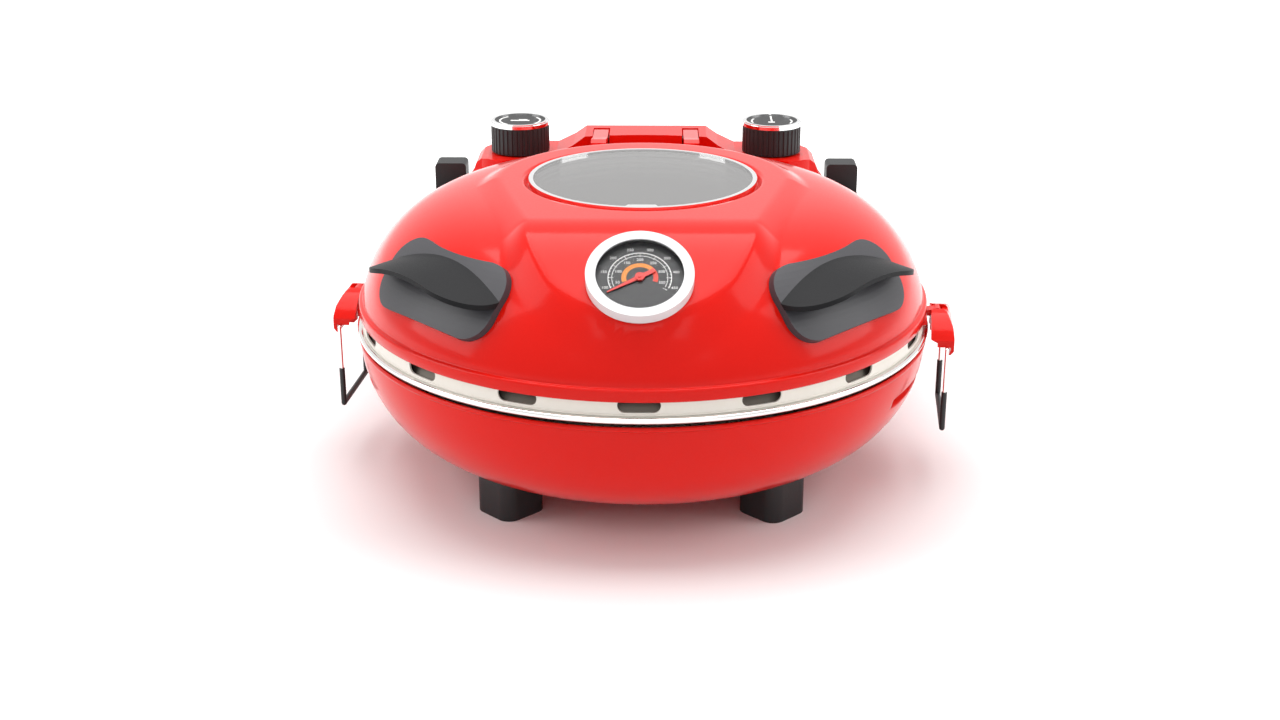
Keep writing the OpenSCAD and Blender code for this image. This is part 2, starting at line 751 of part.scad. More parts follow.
// Radius of row i out of rows: close rows at the rim and in the wall of the window seat
function row_r(i, rows) = let (mid = rows - rim_rows - seat_rows - 1)
    i <= rim_rows ? dome_r - rim_band * pow(i / rim_rows, 2)
    : i <= rim_rows + mid ? dome_r - rim_band - (dome_r - rim_band - seat_r - 6) * (i - rim_rows) / mid
    : i < rows ? seat_r + 6 * (rows - 1 - i) / seat_rows : window_hole_r;
function ring_point(r, z, j) = [r * cos(column_turn(j)), r * sin(column_turn(j)), z];
// A point of the skin; the inner skin is moved inwards at the rim and down on the crown
function skin_point(i, rows, j, drop) = let (
    r = row_r(i, rows), lean = smooth((r - 130) / (dome_r - 130)),
    p = ring_point(r, 0, j), q = ring_point(r - drop * lean, 0, j)
) [q.x, q.y, lid_at(p.x, p.y, drop) - drop * (1 - 0.8 * lean)];

lip_round = 1.2;
lip_t = 1.2;

module lid_shell() {
    n = grid_n;
    // Rows from the edge of the lip up to the window hole, outside and inside
    outer = concat(
        [for (j = [0:n - 1]) ring_point(lip_r, lip_z, j)],
        [for (j = [0:n - 1]) ring_point(lip_r, dome_z - lip_round, j)],
        [for (j = [0:n - 1]) ring_point(lip_r - lip_round, dome_z - 0.1, j)],
        [for (i = [0:skin_rows], j = [0:n - 1]) skin_point(i, skin_rows, j, 0)]);
    inner = concat(
        [for (j = [0:n - 1]) ring_point(lip_r - lip_t, lip_z, j)],
        [for (j = [0:n - 1]) ring_point(lip_r - lip_t, dome_z - lip_t - 1, j)],
        [for (j = [0:n - 1]) ring_point(dome_r - shell_t, dome_z - lip_t - 0.6, j)],
        [for (i = [0:inner_rows], j = [0:n - 1]) skin_point(i, inner_rows, j, shell_t)]);
    count = len(outer);
    faces = concat(
        [for (i = [0:skin_rows + 2], j = [0:n - 1], k = [0, 1]) quad(i * n, i * n + n, j, k)],
        [for (i = [0:inner_rows + 2], j = [0:n - 1], k = [0, 1])
            quad(count + i * n + n, count + i * n, j, k)],
        [for (j = [0:n - 1], k = [0, 1]) quad(count, 0, j, k)],
        [for (j = [0:n - 1], k = [0, 1]) quad(count - n, count + len(inner) - n, j, k)]);
    color(red) difference() {
        polyhedron(points = concat(outer, inner), faces = faces, convexity = 8);
        gauge_frame() translate([0, 0, -gauge_h - 10])
            cylinder(r = stem_r + 0.5, h = 20, $fn = small_fn);
        at_handle_screws() cylinder(r = handle_screw_r + screw_gap, h = 12, center = true, $fn = 16);
    }
}

// Half k of the four-sided face between column j and the next, from row start a to row start b
function quad(a, b, j, k) = let (next = (j + 1) % grid_n)
    k == 0 ? [a + j, b + j, b + next] : [a + j, b + next, a + next];

module lid_vent_band() {
    t = 1;
    color(cream) difference() {
        rotate_extrude($fn = round_fn) {
            translate([band_r - t, ring_z + ring_h + 0.1])
                square([t, dome_z - 2.5 - ring_z - ring_h]);
            translate([band_r, ring_z + ring_h + 0.9]) circle(r = 0.35, $fn = 16);
        }
        // There is no slot behind the latches
        for (i = [0:vent_count - 1]) if (i % (vent_count / 2) != vent_count / 4)
            rotate([0, 0, -90 + i * 360 / vent_count])
                translate([band_r, 0, lip_z - vent_h / 2 + 1.8]) vent_cut();
    }
}

module vent_cut() {
    rotate([0, 90, 0]) translate([0, 0, -6]) linear_extrude(height = 12) {
        square([vent_h, vent_l - vent_h], center = true);
        for (s = [-1, 1]) translate([0, s * (vent_l - vent_h) / 2]) circle(r = vent_h / 2, $fn = small_fn);
    }
}

module lid_rim_ring() {
    nose = ring_h / 2;
    color(steel) rotate_extrude($fn = round_fn) {
        translate([band_r - 1, ring_z]) square([ring_out + 1 - nose, ring_h]);
        translate([band_r + ring_out - nose, ring_z + nose]) circle(r = nose, $fn = small_fn);
    }
}

// ---- Lid inside -------------------------------------------------------------------------

collar_r = window_hole_r - 1.4;
stem_r = 3.5;
collar_top = panel_z - seat_depth - shell_t - 0.3;

// Half section of the reflector: outer line, then the same line moved in by the sheet
function reflector_line(w) = [
    [band_r - 2.2 - w, ring_z + 4 - w], [band_r - 8 - w, ring_z + 14 - w / 2],
    [dome_r - 14 - w, dome_z + 12 - w / 2], [dome_r - 26 - w * 0.8, dome_z + 29 - w * 0.7],
    [dome_r - 45 - w * 0.5, dome_z + 43 - w * 0.9], [dome_r - 70, dome_z + 50.5 - w]];

module lid_reflector() {
    w = liner_wall;
    outer = reflector_line(0);
    inner = reflector_line(w);
    color(steel) difference() {
        rotate_extrude($fn = round_fn) polygon(concat(
            [[band_r - 1.3, ring_z + 4 - w], [band_r - 1.3, ring_z + 4]], outer,
            [[collar_r + w, dome_z + 51.5], [collar_r + w, collar_top], [collar_r, collar_top],
                [collar_r, dome_z + 51.5 - w]],
            [for (i = [len(inner) - 1:-1:0]) inner[i]]));
        leg_holes(upper_leg_x, upper_ring_z);
        gauge_frame() translate([0, 0, -60]) cylinder(r = stem_r + 0.5, h = 55, $fn = small_fn);
    }
}

module upper_element() {
    element(upper_ring_r, upper_ring_z, dome_r - 22);
}

module upper_element_clips() {
    color(steel) for (a = [-60, 60, 180]) rotate([0, 0, a + 30]) {
        translate([upper_ring_r, 0, upper_ring_z + element_tube_r])
            cylinder(r = 3, h = dome_z + 50.3 - liner_wall - upper_ring_z - element_tube_r, $fn = small_fn);
    }
}

// ---- Window -----------------------------------------------------------------------------

seat_z = panel_z - seat_depth;
gasket_t = 0.8;

module tube(r_in, r_out, z, h) {
    translate([0, 0, z]) difference() {
        cylinder(r = r_out, h = h, $fn = round_fn);
        translate([0, 0, -1]) cylinder(r = r_in, h = h + 2, $fn = round_fn);
    }
}

trim_wall = 1.4;

module window_gasket() {
    color(black) tube(window_hole_r + 0.3, trim_r - trim_wall - 0.3, seat_z + 0.1, gasket_t);
}

module window_glass() {
    color([0.7, 0.75, 0.75, 0.5]) translate([0, 0, seat_z + 0.1 + gasket_t])
        cylinder(r = trim_r - trim_wall - 0.3, h = glass_t, $fn = round_fn);
}

module window_trim_ring() {
    top = seat_z + 0.1 + gasket_t + glass_t;
    tab_r = 9.5;
    tab_l = 5.5;
    color(steel) {
        tube(pane_r, trim_r, top, 1.5);
        tube(trim_r - trim_wall, trim_r, seat_z + 0.3, top - seat_z - 0.3);
        intersection() {
            translate([0, -pane_r, top]) cylinder(r = tab_r, h = 1, $fn = small_fn);
            translate([0, 0, top]) cylinder(r = pane_r + 1, h = 1, $fn = round_fn);
            translate([-tab_r, -pane_r - 1, top]) cube([2 * tab_r, tab_l + 1, 1]);
        }
    }
}

// ---- Gauge ------------------------------------------------------------------------------

module gauge_frame() {
    translate([0, -gauge_y, gauge_z]) rotate([gauge_tilt, 0, 0]) children();
}

case_r = bezel_r - 2.4;
dial_z = -4.2;
dial_t = 0.6;
lens_t = 0.7;
spindle_r = 1;
needle_turn = 211;
needle_l = 20;
needle_tail = 9;

module gauge_case() {
    color(dark_steel) gauge_frame() difference() {
        translate([0, 0, -gauge_h + 0.7]) cylinder(r = case_r, h = gauge_h - 1.7, $fn = round_fn);
        translate([0, 0, -gauge_h + 1.7]) cylinder(r = case_r - 1.4, h = gauge_h, $fn = round_fn);
        translate([0, 0, -gauge_h - 1]) cylinder(r = stem_r + run_gap, h = 5, $fn = small_fn);
    }
}

module gauge_stem() {
    color(steel) gauge_frame() {
        translate([0, 0, -46]) cylinder(r = stem_r, h = 46 - gauge_h + 1.6, $fn = small_fn);
        translate([0, 0, -gauge_h - 5.4]) cylinder(r = 8, h = 3, $fn = 6);
    }
}

module gauge_dial() {
    color(black) gauge_frame() difference() {
        translate([0, 0, dial_z]) cylinder(r = case_r - 1.5, h = dial_t, $fn = round_fn);
        translate([0, 0, dial_z - 1]) cylinder(r = spindle_r + run_gap, h = 5, $fn = small_fn);
    }
}

module gauge_lens() {
    color([0.8, 0.85, 0.85, 0.4]) gauge_frame() translate([0, 0, -0.3 - lens_t])
        cylinder(r = case_r - 1.6, h = lens_t, $fn = round_fn);
}

module gauge_bezel() {
    color("white") gauge_frame() {
        tube(dial_r, bezel_r, -0.3, 0.9);
        tube(case_r + 0.1, bezel_r, -gauge_h + 0.3, gauge_h - 0.6);
    }
}

module gauge_needle() {
    top = dial_z + dial_t;
    color("red") gauge_frame() {
        translate([0, 0, dial_z + 0.1]) cylinder(r = spindle_r, h = 2.4, $fn = small_fn);
        translate([0, 0, top + 0.3]) cylinder(r = 2.6, h = 1.2, $fn = small_fn);
        translate([0, 0, top + 0.5]) linear_extrude(height = 0.5) rotate([0, 0, needle_turn])
            polygon([[-needle_tail, -1.2], [-needle_tail, 1.2], [0, 1.3], [needle_l, 0.3],
                [needle_l, -0.3], [0, -1.3]]);
    }
}

// ---- Handles ----------------------------------------------------------------------------

plate_u = dome_r - 16.5;   // distance of the plate centre from the middle of the lid
plate_lean = 55;           // how far the plate faces outwards from straight up
plate_corner = 17;
plate_dip = 2.6;           // depth of the hollow in the top edge of the plate
dip_r = 170;
grip_root = dome_r - 26.5; // where the top of the grip blade meets the plate
grip_out = dome_r + 7.5;   // outer edge of the grip blade
grip_top = 161;            // height of the arch where it meets the plate
grip_half = 50;            // half length of the blade along the plate
grip_slope = 4;            // fall of the blade towards its outer edge

// Solid inside a dome that is larger than the lid by off on all sides
module grown_dome(off) {
    steps = 36;
    rotate_extrude($fn = round_fn) polygon(concat([[0, dome_z - 20], [dome_r + off, dome_z - 20]],
        [for (i = [0:steps]) let (t = 90 * i / steps, r = dome_r * pow(cos(t), 2 / dome_p),
            z = dome_z + dome_h * pow(sin(t), 2 / dome_q)) [i == steps ? 0 : r + off * pow(cos(t), 0.9),
            z + off * pow(sin(t), 0.9)]]));
}

// Places a handle on its side: x points out of the lid, y runs towards the side of the lid
module on_side(s) {
    if (s < 0) rotate([0, 0, 180 + handle_turn]) mirror([0, 1, 0]) children();
    else rotate([0, 0, -handle_turn]) children();
}

module plate_outline() {
    l = plate_l / 2 - plate_corner;
    w = plate_w / 2 - plate_corner;
    for (p = foot_places) translate([p.x * w, p.y * l]) circle(r = plate_corner, $fn = round_fn);
    square([plate_w, 2 * l], center = true);
    square([2 * w, plate_l], center = true);
}

module handle_plate(s) {
    color(grey_plastic) intersection() {
        difference() {
            grown_dome(plate_t);
            grown_dome(seat_gap);
            at_handle_screws() translate([0, 0, -2])
                cylinder(r = handle_screw_r, h = 5, $fn = small_fn);
        }
        on_side(s) translate([plate_u, 0, dome_at(plate_u)]) rotate([0, plate_lean, 0])
            linear_extrude(height = 50, center = true) difference() {
                plate_outline();
                translate([plate_dip - plate_w / 2 - dip_r, 0]) circle(r = dip_r, $fn = round_fn);
            }
    }
}

// Outline of the blade seen from above: straight sides with large round corners
module grip_outline() {
    for (y = [-1, 1]) translate([grip_out - grip_r, y * (grip_half - grip_r)])
        circle(r = grip_r, $fn = round_fn);
    translate([grip_root - 25, -grip_half]) square([grip_out - grip_r - grip_root + 25, 2 * grip_half]);
    translate([grip_root, grip_r - grip_half]) square([grip_out - grip_root, 2 * (grip_half - grip_r)]);
}

module grip_blade() {
    intersection() {
        linear_extrude(height = big) grip_outline();
        translate([grip_root, 0, grip_top]) rotate([0, grip_slope, 0]) translate([-40, 0, -grip_arch])
            rotate([90, 0, 90]) linear_extrude(height = 120) difference() {
                circle(r = grip_arch, $fn = round_fn * 2);
                circle(r = grip_arch - grip_t, $fn = round_fn * 2);
            }
        translate([0, -100, 120]) cube([big, 200, 80]);
    }
}

module handle_grip(s) {
    color(grey_plastic) difference() {
        on_side(s) grip_blade();
        grown_dome(plate_t + run_gap);
    }
}

module handle_plate_left() { handle_plate(-1); }
module handle_plate_right() { handle_plate(1); }
module handle_grip_left() { handle_grip(-1); }
module handle_grip_right() { handle_grip(1); }

handle_screw_r = 2;

// Points each screw out of the lid, square to the dome, with its origin on the dome
module at_handle_screws() {
    for (s = [-1, 1]) on_side(s) for (y = [-26, 26])
        translate([plate_u - 2, y, dome_at(norm([plate_u - 2, y]))])
            rotate([0, plate_lean - 7, 0]) children();
}

module handle_screws() {
    under = shell_t + 0.6;
    color(steel) at_handle_screws() {
        translate([0, 0, -under - 1.8]) cylinder(r = 4, h = 1.8, $fn = small_fn);
        translate([0, 0, -under - 0.5]) cylinder(r = handle_screw_r, h = under + 3.5, $fn = small_fn);
    }
}

// ---- Hinge arms -------------------------------------------------------------------------

module hinge_arms() {
    seat_y = dome_r - 40.5;
    fall = 0.56;
    rest = norm([arm_x, seat_y]);
    // The arm lies on the dome where it is riveted and runs back to its eye
    line = [[seat_y - 8, dome_at(rest) + 8 * fall + 0.9],
        [seat_y + 7, dome_at(rest) - 7 * fall + 0.9],
        [hinge_y - 16, hinge_z - 2], [hinge_y - 2, hinge_z - arm_eye_r + 0.3],
        [hinge_y, hinge_z + arm_eye_r], [hinge_y - 30, hinge_z + arm_eye_r + 2],
        [seat_y, dome_at(rest) + 8.6], [seat_y - 8, dome_at(rest) + 8 * fall + 3.5]];
    color(red) for (s = [-1, 1]) translate([s * arm_x, 0, 0]) difference() {
        union() {
            translate([-arm_w / 2, 0, 0]) rotate([90, 0, 90]) linear_extrude(height = arm_w) polygon(line);
            translate([-arm_w / 2, hinge_y, hinge_z]) rotate([0, 90, 0])
                cylinder(r = arm_eye_r, h = arm_w, $fn = small_fn);
        }
        hinge_bore(hinge_pin_r + run_gap);
    }
}

// ---- Latches ----------------------------------------------------------------------------

hook_r = bowl_r_at(groove_z) + 0.2;
up_lean = 8;        // lean of the wire pin past the lever pin when the latch is shut
rest_lean = 180 - up_lean - lever_swing;
wire_pin_up = [lever_pin_u + throw * sin(up_lean), lever_pin_z + throw * cos(up_lean)];
wire_pin = [lever_pin_u + throw * sin(rest_lean), lever_pin_z - throw * cos(rest_lean)];
loop_l = norm(wire_pin_up - [hook_r, groove_z]);
hook_lean = atan2(wire_pin_up.x - hook_r, wire_pin_up.y - groove_z);
loop_w = lever_l + 2 * (loop_gap + wire_r);
lever_out = 9.8;     // how far the lever reaches out past its pin
lever_top = 2.5;     // height of the crown of the lever above its pin
lever_drop = 11;     // height of its pin above the top of the lever's ends
lever_foot = 19.7;   // how far the lever hangs below its pin
lever_wall = 2;
pin_r = 1.2;
tongue_w = 8;        // width of the bracket's tongue between the webs of the lever
web_t = 2.6;
pin_fit = 0.4;       // gap beside and round the tongue

module on_latch_side(s) { rotate([0, 0, s > 0 ? -latch_turn : 180 - latch_turn]) children(); }

// Extrudes a shape drawn with x outwards and y up, over length l along the rim
module along_rim(l) { translate([0, l / 2, 0]) rotate([90, 0, 0]) linear_extrude(height = l) children(); }

// Section of the lever across the rim, drawn about its pin
module lever_outline() {
    polygon([[-3.9, -10.5], [-3.9, 0.9], [-2.5, lever_top], [3, lever_top], [5.7, 1.3], [6.7, 0],
        [7.9, -2.2], [9.1, -4.7], [lever_out, -9.5], [lever_out, -17.5], [8, -lever_foot],
        [2, -lever_foot], [0, -17.8], [0, -12.5]]);
}

module lever_hollow() {
    polygon([[-5, -25], [-5, 0], [-2, 0.7], [2.6, 0.7], [5, -1.6], [6.8, -4.6],
        [lever_out - lever_wall, -9.8], [lever_out - lever_wall, -16.8], [5, -25]]);
}

// Side view of the lever along the rim, moved in by w: a crown that falls to both ends
module lever_crown(w) {
    rise = lever_top + lever_drop;
    r = (pow(lever_l / 2, 2) + pow(rise, 2)) / (2 * rise);
    below = lever_foot + 6;
    rotate([90, 0, 90]) linear_extrude(height = 60, center = true) {
        translate([0, lever_top - r]) circle(r = r - w, $fn = round_fn);
        translate([w - lever_l / 2, -below]) square([lever_l - 2 * w, below - lever_drop - w]);
    }
}

module latch_lever(s) {
    room = tongue_w / 2 + pin_fit;
    color(red) on_latch_side(s) translate([lever_pin_u, 0, lever_pin_z]) difference() {
        intersection() {
            along_rim(lever_l) lever_outline();
            lever_crown(0);
        }
        intersection() {
            for (y = [-1, 1]) translate([0, y * (room + web_t + lever_l / 2) / 2, 0])
                along_rim(lever_l / 2 - room - web_t) lever_hollow();
            lever_crown(lever_wall);
        }
        // Slot for the tongue that carries the pin
        along_rim(2 * room) {
            circle(r = tongue_r + pin_fit, $fn = small_fn);
            translate([-8, -5]) square([8, 20]);
            translate([-8, 0]) square([30, 20]);
            lever_hollow();
        }
        rotate([90, 0, 0])
            cylinder(r = pin_r + run_gap, h = 2 * (room + web_t) + 0.4, center = true, $fn = small_fn);
        for (y = [-1, 1])
            translate([wire_pin.x - lever_pin_u, y * lever_l / 2, wire_pin.y - lever_pin_z])
                rotate([90, 0, 0]) cylinder(r = wire_r + run_gap, h = 7, center = true, $fn = small_fn);
    }
}

tongue_r = 2.4;

module latch_bracket(s) {
    pad_l = 40;
    pad_foot = ring_z + ring_h + 4;
    under_lip = lip_z - 0.2;
    color(red) on_latch_side(s) {
        along_rim(tongue_w) {
            translate([lever_pin_u, lever_pin_z]) circle(r = tongue_r, $fn = small_fn);
            polygon([[lip_r - 0.8, pad_foot + 0.4], [lip_r + 2, pad_foot + 0.4],
                [lever_pin_u + 0.5, lever_pin_z - tongue_r + 0.3],
                [lever_pin_u, lever_pin_z + tongue_r - 0.3], [lip_r + 1, under_lip - 0.3],
                [lip_r - 0.8, under_lip - 0.3]]);
        }
        translate([0, 0, pad_foot]) linear_extrude(height = under_lip - pad_foot) difference() {
            translate([band_r - 2, -pad_l / 2]) square([lip_r - band_r + 1.8, pad_l]);
            circle(r = band_r + run_gap, $fn = round_fn * 5);
        }
        translate([lever_pin_u, 0, lever_pin_z]) rotate([90, 0, 0])
            cylinder(r = pin_r, h = tongue_w + 2 * (pin_fit + web_t), center = true, $fn = small_fn);
    }
}

module latch_wire(s) {
    half = loop_w / 2;
    arm = loop_l;
    color(steel) on_latch_side(s) translate([wire_pin.x, 0, wire_pin.y]) {
        for (y = [-1, 1]) {
            translate([0, y * (half + lever_l / 2 - 3) / 2, 0]) rotate([90, 0, 0])
                cylinder(r = wire_r, h = half - lever_l / 2 + 3, center = true, $fn = small_fn);
            translate([0, y * half, 0]) sphere(r = wire_r, $fn = small_fn);
            translate([0, y * half, -arm]) cylinder(r = wire_r, h = arm, $fn = small_fn);
            translate([0, y * half, -arm]) sphere(r = wire_r, $fn = small_fn);
        }
        translate([0, 0, -arm]) rotate([90, 0, 0])
            cylinder(r = wire_r, h = loop_w, center = true, $fn = small_fn);
    }
}

module latch_sleeve(s) {
    half = loop_w / 2;
    up = loop_l * 0.46;
    color(black) on_latch_side(s) translate([wire_pin.x, 0, wire_pin.y - loop_l]) difference() {
        union() {
            for (y = [-1, 1]) {
                translate([0, y * half, 0]) cylinder(r = sleeve_r, h = up, $fn = small_fn);
                translate([0, y * half, 0]) sphere(r = sleeve_r, $fn = small_fn);
            }
            rotate([90, 0, 0]) cylinder(r = sleeve_r, h = loop_w, center = true, $fn = small_fn);
        }
        for (y = [-1, 1]) {
            translate([0, y * half, 0]) cylinder(r = wire_r, h = up + 1, $fn = small_fn);
            translate([0, y * half, 0]) sphere(r = wire_r, $fn = small_fn);
        }
        rotate([90, 0, 0]) cylinder(r = wire_r, h = loop_w, center = true, $fn = small_fn);
    }
}

module latch_bracket_left() { latch_bracket(-1); }
module latch_bracket_right() { latch_bracket(1); }
module latch_lever_left() { latch_lever(-1); }
module latch_lever_right() { latch_lever(1); }
module latch_wire_left() { latch_wire(-1); }
module latch_wire_right() { latch_wire(1); }
module latch_sleeve_left() { latch_sleeve(-1); }
module latch_sleeve_right() { latch_sleeve(1); }

// ---- Frame ------------------------------------------------------------------------------

// The parts are drawn about the middle of the round bowl. The frame's origin lies on the table
// under the middle of the whole object, which reaches from the lid ring to the stand feet.
frame_shift = (band_r + ring_out - stand_back) / 2;
module in_frame() { translate([0, frame_shift, 0]) children(); }

in_frame() base_bowl();
in_frame() chamber_liner();
in_frame() liner_spacers();
in_frame() liner_screws();
in_frame() lower_element();
in_frame() lower_element_posts();
in_frame() pizza_stone();
in_frame() foot_front_left();
in_frame() foot_front_right();
in_frame() foot_rear_left();
in_frame() foot_rear_right();
in_frame() foot_screws();
in_frame() console_housing();
in_frame() console_bolts();
in_frame() console_back_cover();
in_frame() cover_screws();
in_frame() stand_foot_left();
in_frame() stand_foot_right();
in_frame() hinge_pin();
in_frame() cord_gland();
in_frame() terminal_block();
in_frame() timer_body();
in_frame() thermostat_body();
in_frame() thermostat_probe();
in_frame() timer_shaft();
in_frame() timer_knob();
in_frame() timer_knob_trim();
in_frame() thermostat_shaft();
in_frame() thermostat_knob();
in_frame() thermostat_knob_trim();
in_frame() lid_shell();
in_frame() lid_vent_band();
in_frame() lid_rim_ring();
in_frame() lid_reflector();
in_frame() upper_element();
in_frame() upper_element_clips();
in_frame() window_gasket();
in_frame() window_glass();
in_frame() window_trim_ring();
in_frame() gauge_case();
in_frame() gauge_stem();
in_frame() gauge_dial();
in_frame() gauge_lens();
in_frame() gauge_bezel();
in_frame() gauge_needle();
in_frame() handle_plate_left();
in_frame() handle_plate_right();
in_frame() handle_grip_left();
in_frame() handle_grip_right();
in_frame() handle_screws();
in_frame() hinge_arms();
in_frame() latch_bracket_left();
in_frame() latch_bracket_right();
in_frame() latch_lever_left();
in_frame() latch_lever_right();
in_frame() latch_wire_left();
in_frame() latch_wire_right();
in_frame() latch_sleeve_left();
in_frame() latch_sleeve_right();
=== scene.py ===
# %% [markdown]
# # Countertop pizza maker
# A round red clamshell oven: a bowl with a stone inside, a domed lid with a window and a dial
# gauge, two dark handles, two wire latches at the sides, and a console with two knobs behind.
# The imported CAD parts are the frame. This script gives every part its finish, and replaces the
# parts whose curved skin or printed face needs more detail than the solids have.

# %% Load the frame
import math

import bmesh
import bpy
import numpy as np
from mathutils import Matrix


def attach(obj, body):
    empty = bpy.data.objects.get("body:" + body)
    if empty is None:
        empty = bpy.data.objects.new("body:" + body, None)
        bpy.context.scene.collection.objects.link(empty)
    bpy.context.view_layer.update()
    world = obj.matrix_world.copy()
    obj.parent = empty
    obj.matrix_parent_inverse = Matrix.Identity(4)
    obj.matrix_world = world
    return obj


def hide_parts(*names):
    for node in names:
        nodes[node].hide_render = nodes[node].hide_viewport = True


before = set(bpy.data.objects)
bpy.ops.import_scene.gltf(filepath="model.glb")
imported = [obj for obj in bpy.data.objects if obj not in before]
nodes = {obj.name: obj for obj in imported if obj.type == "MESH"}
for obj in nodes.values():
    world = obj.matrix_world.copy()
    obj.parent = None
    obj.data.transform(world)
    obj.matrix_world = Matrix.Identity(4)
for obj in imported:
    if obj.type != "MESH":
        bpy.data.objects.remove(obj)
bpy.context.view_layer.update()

# %% [markdown]
# ## Sizes
# All sizes are in millimetres, measured from the middle of the round bowl, as in the source of
# the solids. The frame's origin lies 20.2 mm behind that middle, so every finished piece is
# moved by FRAME_SHIFT and scaled to metres in one place, the function to_frame.

# %% Sizes that several pieces share
MM = 0.001
FRAME_SHIFT = -20.2
RIM_R, RIM_Z, SIDE_ROUND = 172.0, 89.5, 68.0
BOWL_WALL, BEAD_R = 1.5, 1.4
LIP_R, LIP_Z, LIP_TOP = 172.0, 105.0, 112.5
DOME_R, DOME_H = 169.5, 65.0
PANEL_Z, PANEL_R, PANEL_FRONT_R, PANEL_FRONT_Y, FLANK_W = 180.5, 87.0, 64.0, 92.0, 13.5
TRIM_R, PANE_R, SEAT_DEPTH, SHELL_T = 68.2, 65.6, 5.0, 1.6
GAUGE_Y, GAUGE_Z, GAUGE_TILT, GAUGE_H = 140.5, 166.1, math.radians(33), 6.0
BEZEL_R, PANEL_SOFT = 28.9, 14.0


def to_frame(points):
    """Millimetres about the bowl's middle to metres in the frame."""
    return (np.asarray(points, float) + [0, FRAME_SHIFT, 0]) * MM


print("bowl rim", 2 * RIM_R, "mm across, lid top", PANEL_Z, "mm above the table")

# %% [markdown]
# ## Camera
# The photograph looks at the front, a little from above. The lens is not known, so 50 mm is
# assumed. With it, the rim and the window fall on their ellipses at a pitch of 20.85 degrees and
# 1.03 m in front of the bowl's middle. The object is turned by 0.75 degrees. The camera could
# stay in the middle and the object turn, but the object is the frame, so the camera moves: it
# stands 11.8 mm to the right and looks a little to the left.

# %% Camera
CAMERA_PITCH, CAMERA_YAW = math.radians(20.85), math.radians(0.75)
CAMERA_PLACE = [11.8, -1032.4, 457.0]
camera_data = bpy.data.cameras.new("camera")
camera_data.sensor_width, camera_data.lens = 36.0, 50.0
camera = bpy.data.objects.new("camera", camera_data)
camera.location = to_frame(CAMERA_PLACE)
camera.rotation_euler = (math.pi / 2 - CAMERA_PITCH, 0, CAMERA_YAW)
bpy.context.scene.collection.objects.link(camera)
bpy.context.scene.camera = camera
print("camera at", [round(v, 4) for v in camera.location])

# %% [markdown]
# ## Light
# A product on a white sweep is lit by large soft boxes. A brighter world could make the background
# white too, but it would wash out the reds. So the world is white only where it is seen, by the
# camera, in a mirror or through glass, and it is dimmer as a light. One small group of nodes
# tells the two kinds of ray apart, and the floor uses it as well.

# %% Rays that see and rays that light
def seen_share(tree):
    """1 for a ray from the camera, off a mirror or through glass, and 0 for a ray of light."""
    path = tree.nodes.new("ShaderNodeLightPath")
    first = tree.nodes.new("ShaderNodeMath")
    both = tree.nodes.new("ShaderNodeMath")
    first.operation = both.operation = "MAXIMUM"
    tree.links.new(path.outputs["Is Camera Ray"], first.inputs[0])
    tree.links.new(path.outputs["Is Glossy Ray"], first.inputs[1])
    tree.links.new(first.outputs[0], both.inputs[0])
    tree.links.new(path.outputs["Is Transmission Ray"], both.inputs[1])
    return both.outputs[0]


# %% World
WORLD_LIGHT, WORLD_SEEN = 0.30, 1.0
world = bpy.data.worlds.new("studio")
bpy.context.scene.world = world
world.use_nodes = True
tree = world.node_tree
tree.nodes.clear()
level = tree.nodes.new("ShaderNodeMapRange")
level.inputs["To Min"].default_value = WORLD_LIGHT
level.inputs["To Max"].default_value = WORLD_SEEN
sky = tree.nodes.new("ShaderNodeBackground")
sky.inputs["Color"].default_value = (1, 1, 1, 1)
out = tree.nodes.new("ShaderNodeOutputWorld")
tree.links.new(seen_share(tree), level.inputs["Value"])
tree.links.new(level.outputs["Result"], sky.inputs["Strength"])
tree.links.new(sky.outputs[0], out.inputs["Surface"])
print("world as a light:", WORLD_LIGHT)

# %% [markdown]
# One box hangs over the object, one stands on each side, and one is in front above the camera.
# Point lamps would give small hard glints in the enamel. Wide ones give the long soft highlights
# that the photograph shows.


# %% Lamps
def soft_box(name, place, target, width, height, power):
    """A rectangular lamp at place, in metres, turned so that it faces target."""
    data = bpy.data.lights.new(name, "AREA")
    data.shape, data.size, data.size_y, data.energy = "RECTANGLE", width, height, power
    lamp = bpy.data.objects.new(name, data)
    lamp.location = place
    aim = np.asarray(target, float) - np.asarray(place, float)
    flat = math.hypot(aim[0], aim[1])
    lamp.rotation_euler = (math.pi / 2 - math.atan2(-aim[2], flat), 0,
                           math.atan2(aim[1], aim[0]) - math.pi / 2)
    bpy.context.scene.collection.objects.link(lamp)
    return lamp


LAMP_TARGET = (0, 0, 0.1)
soft_box("box_top", (0, 0.15, 1.3), LAMP_TARGET, 1.5, 1.2, 20)
soft_box("box_left", (-1.3, -0.2, 0.75), LAMP_TARGET, 0.9, 1.2, 9)
soft_box("box_right", (1.3, -0.2, 0.75), LAMP_TARGET, 0.9, 1.2, 9)
soft_box("box_front", (0, -1.5, 1.1), LAMP_TARGET, 1.6, 0.7, 5)
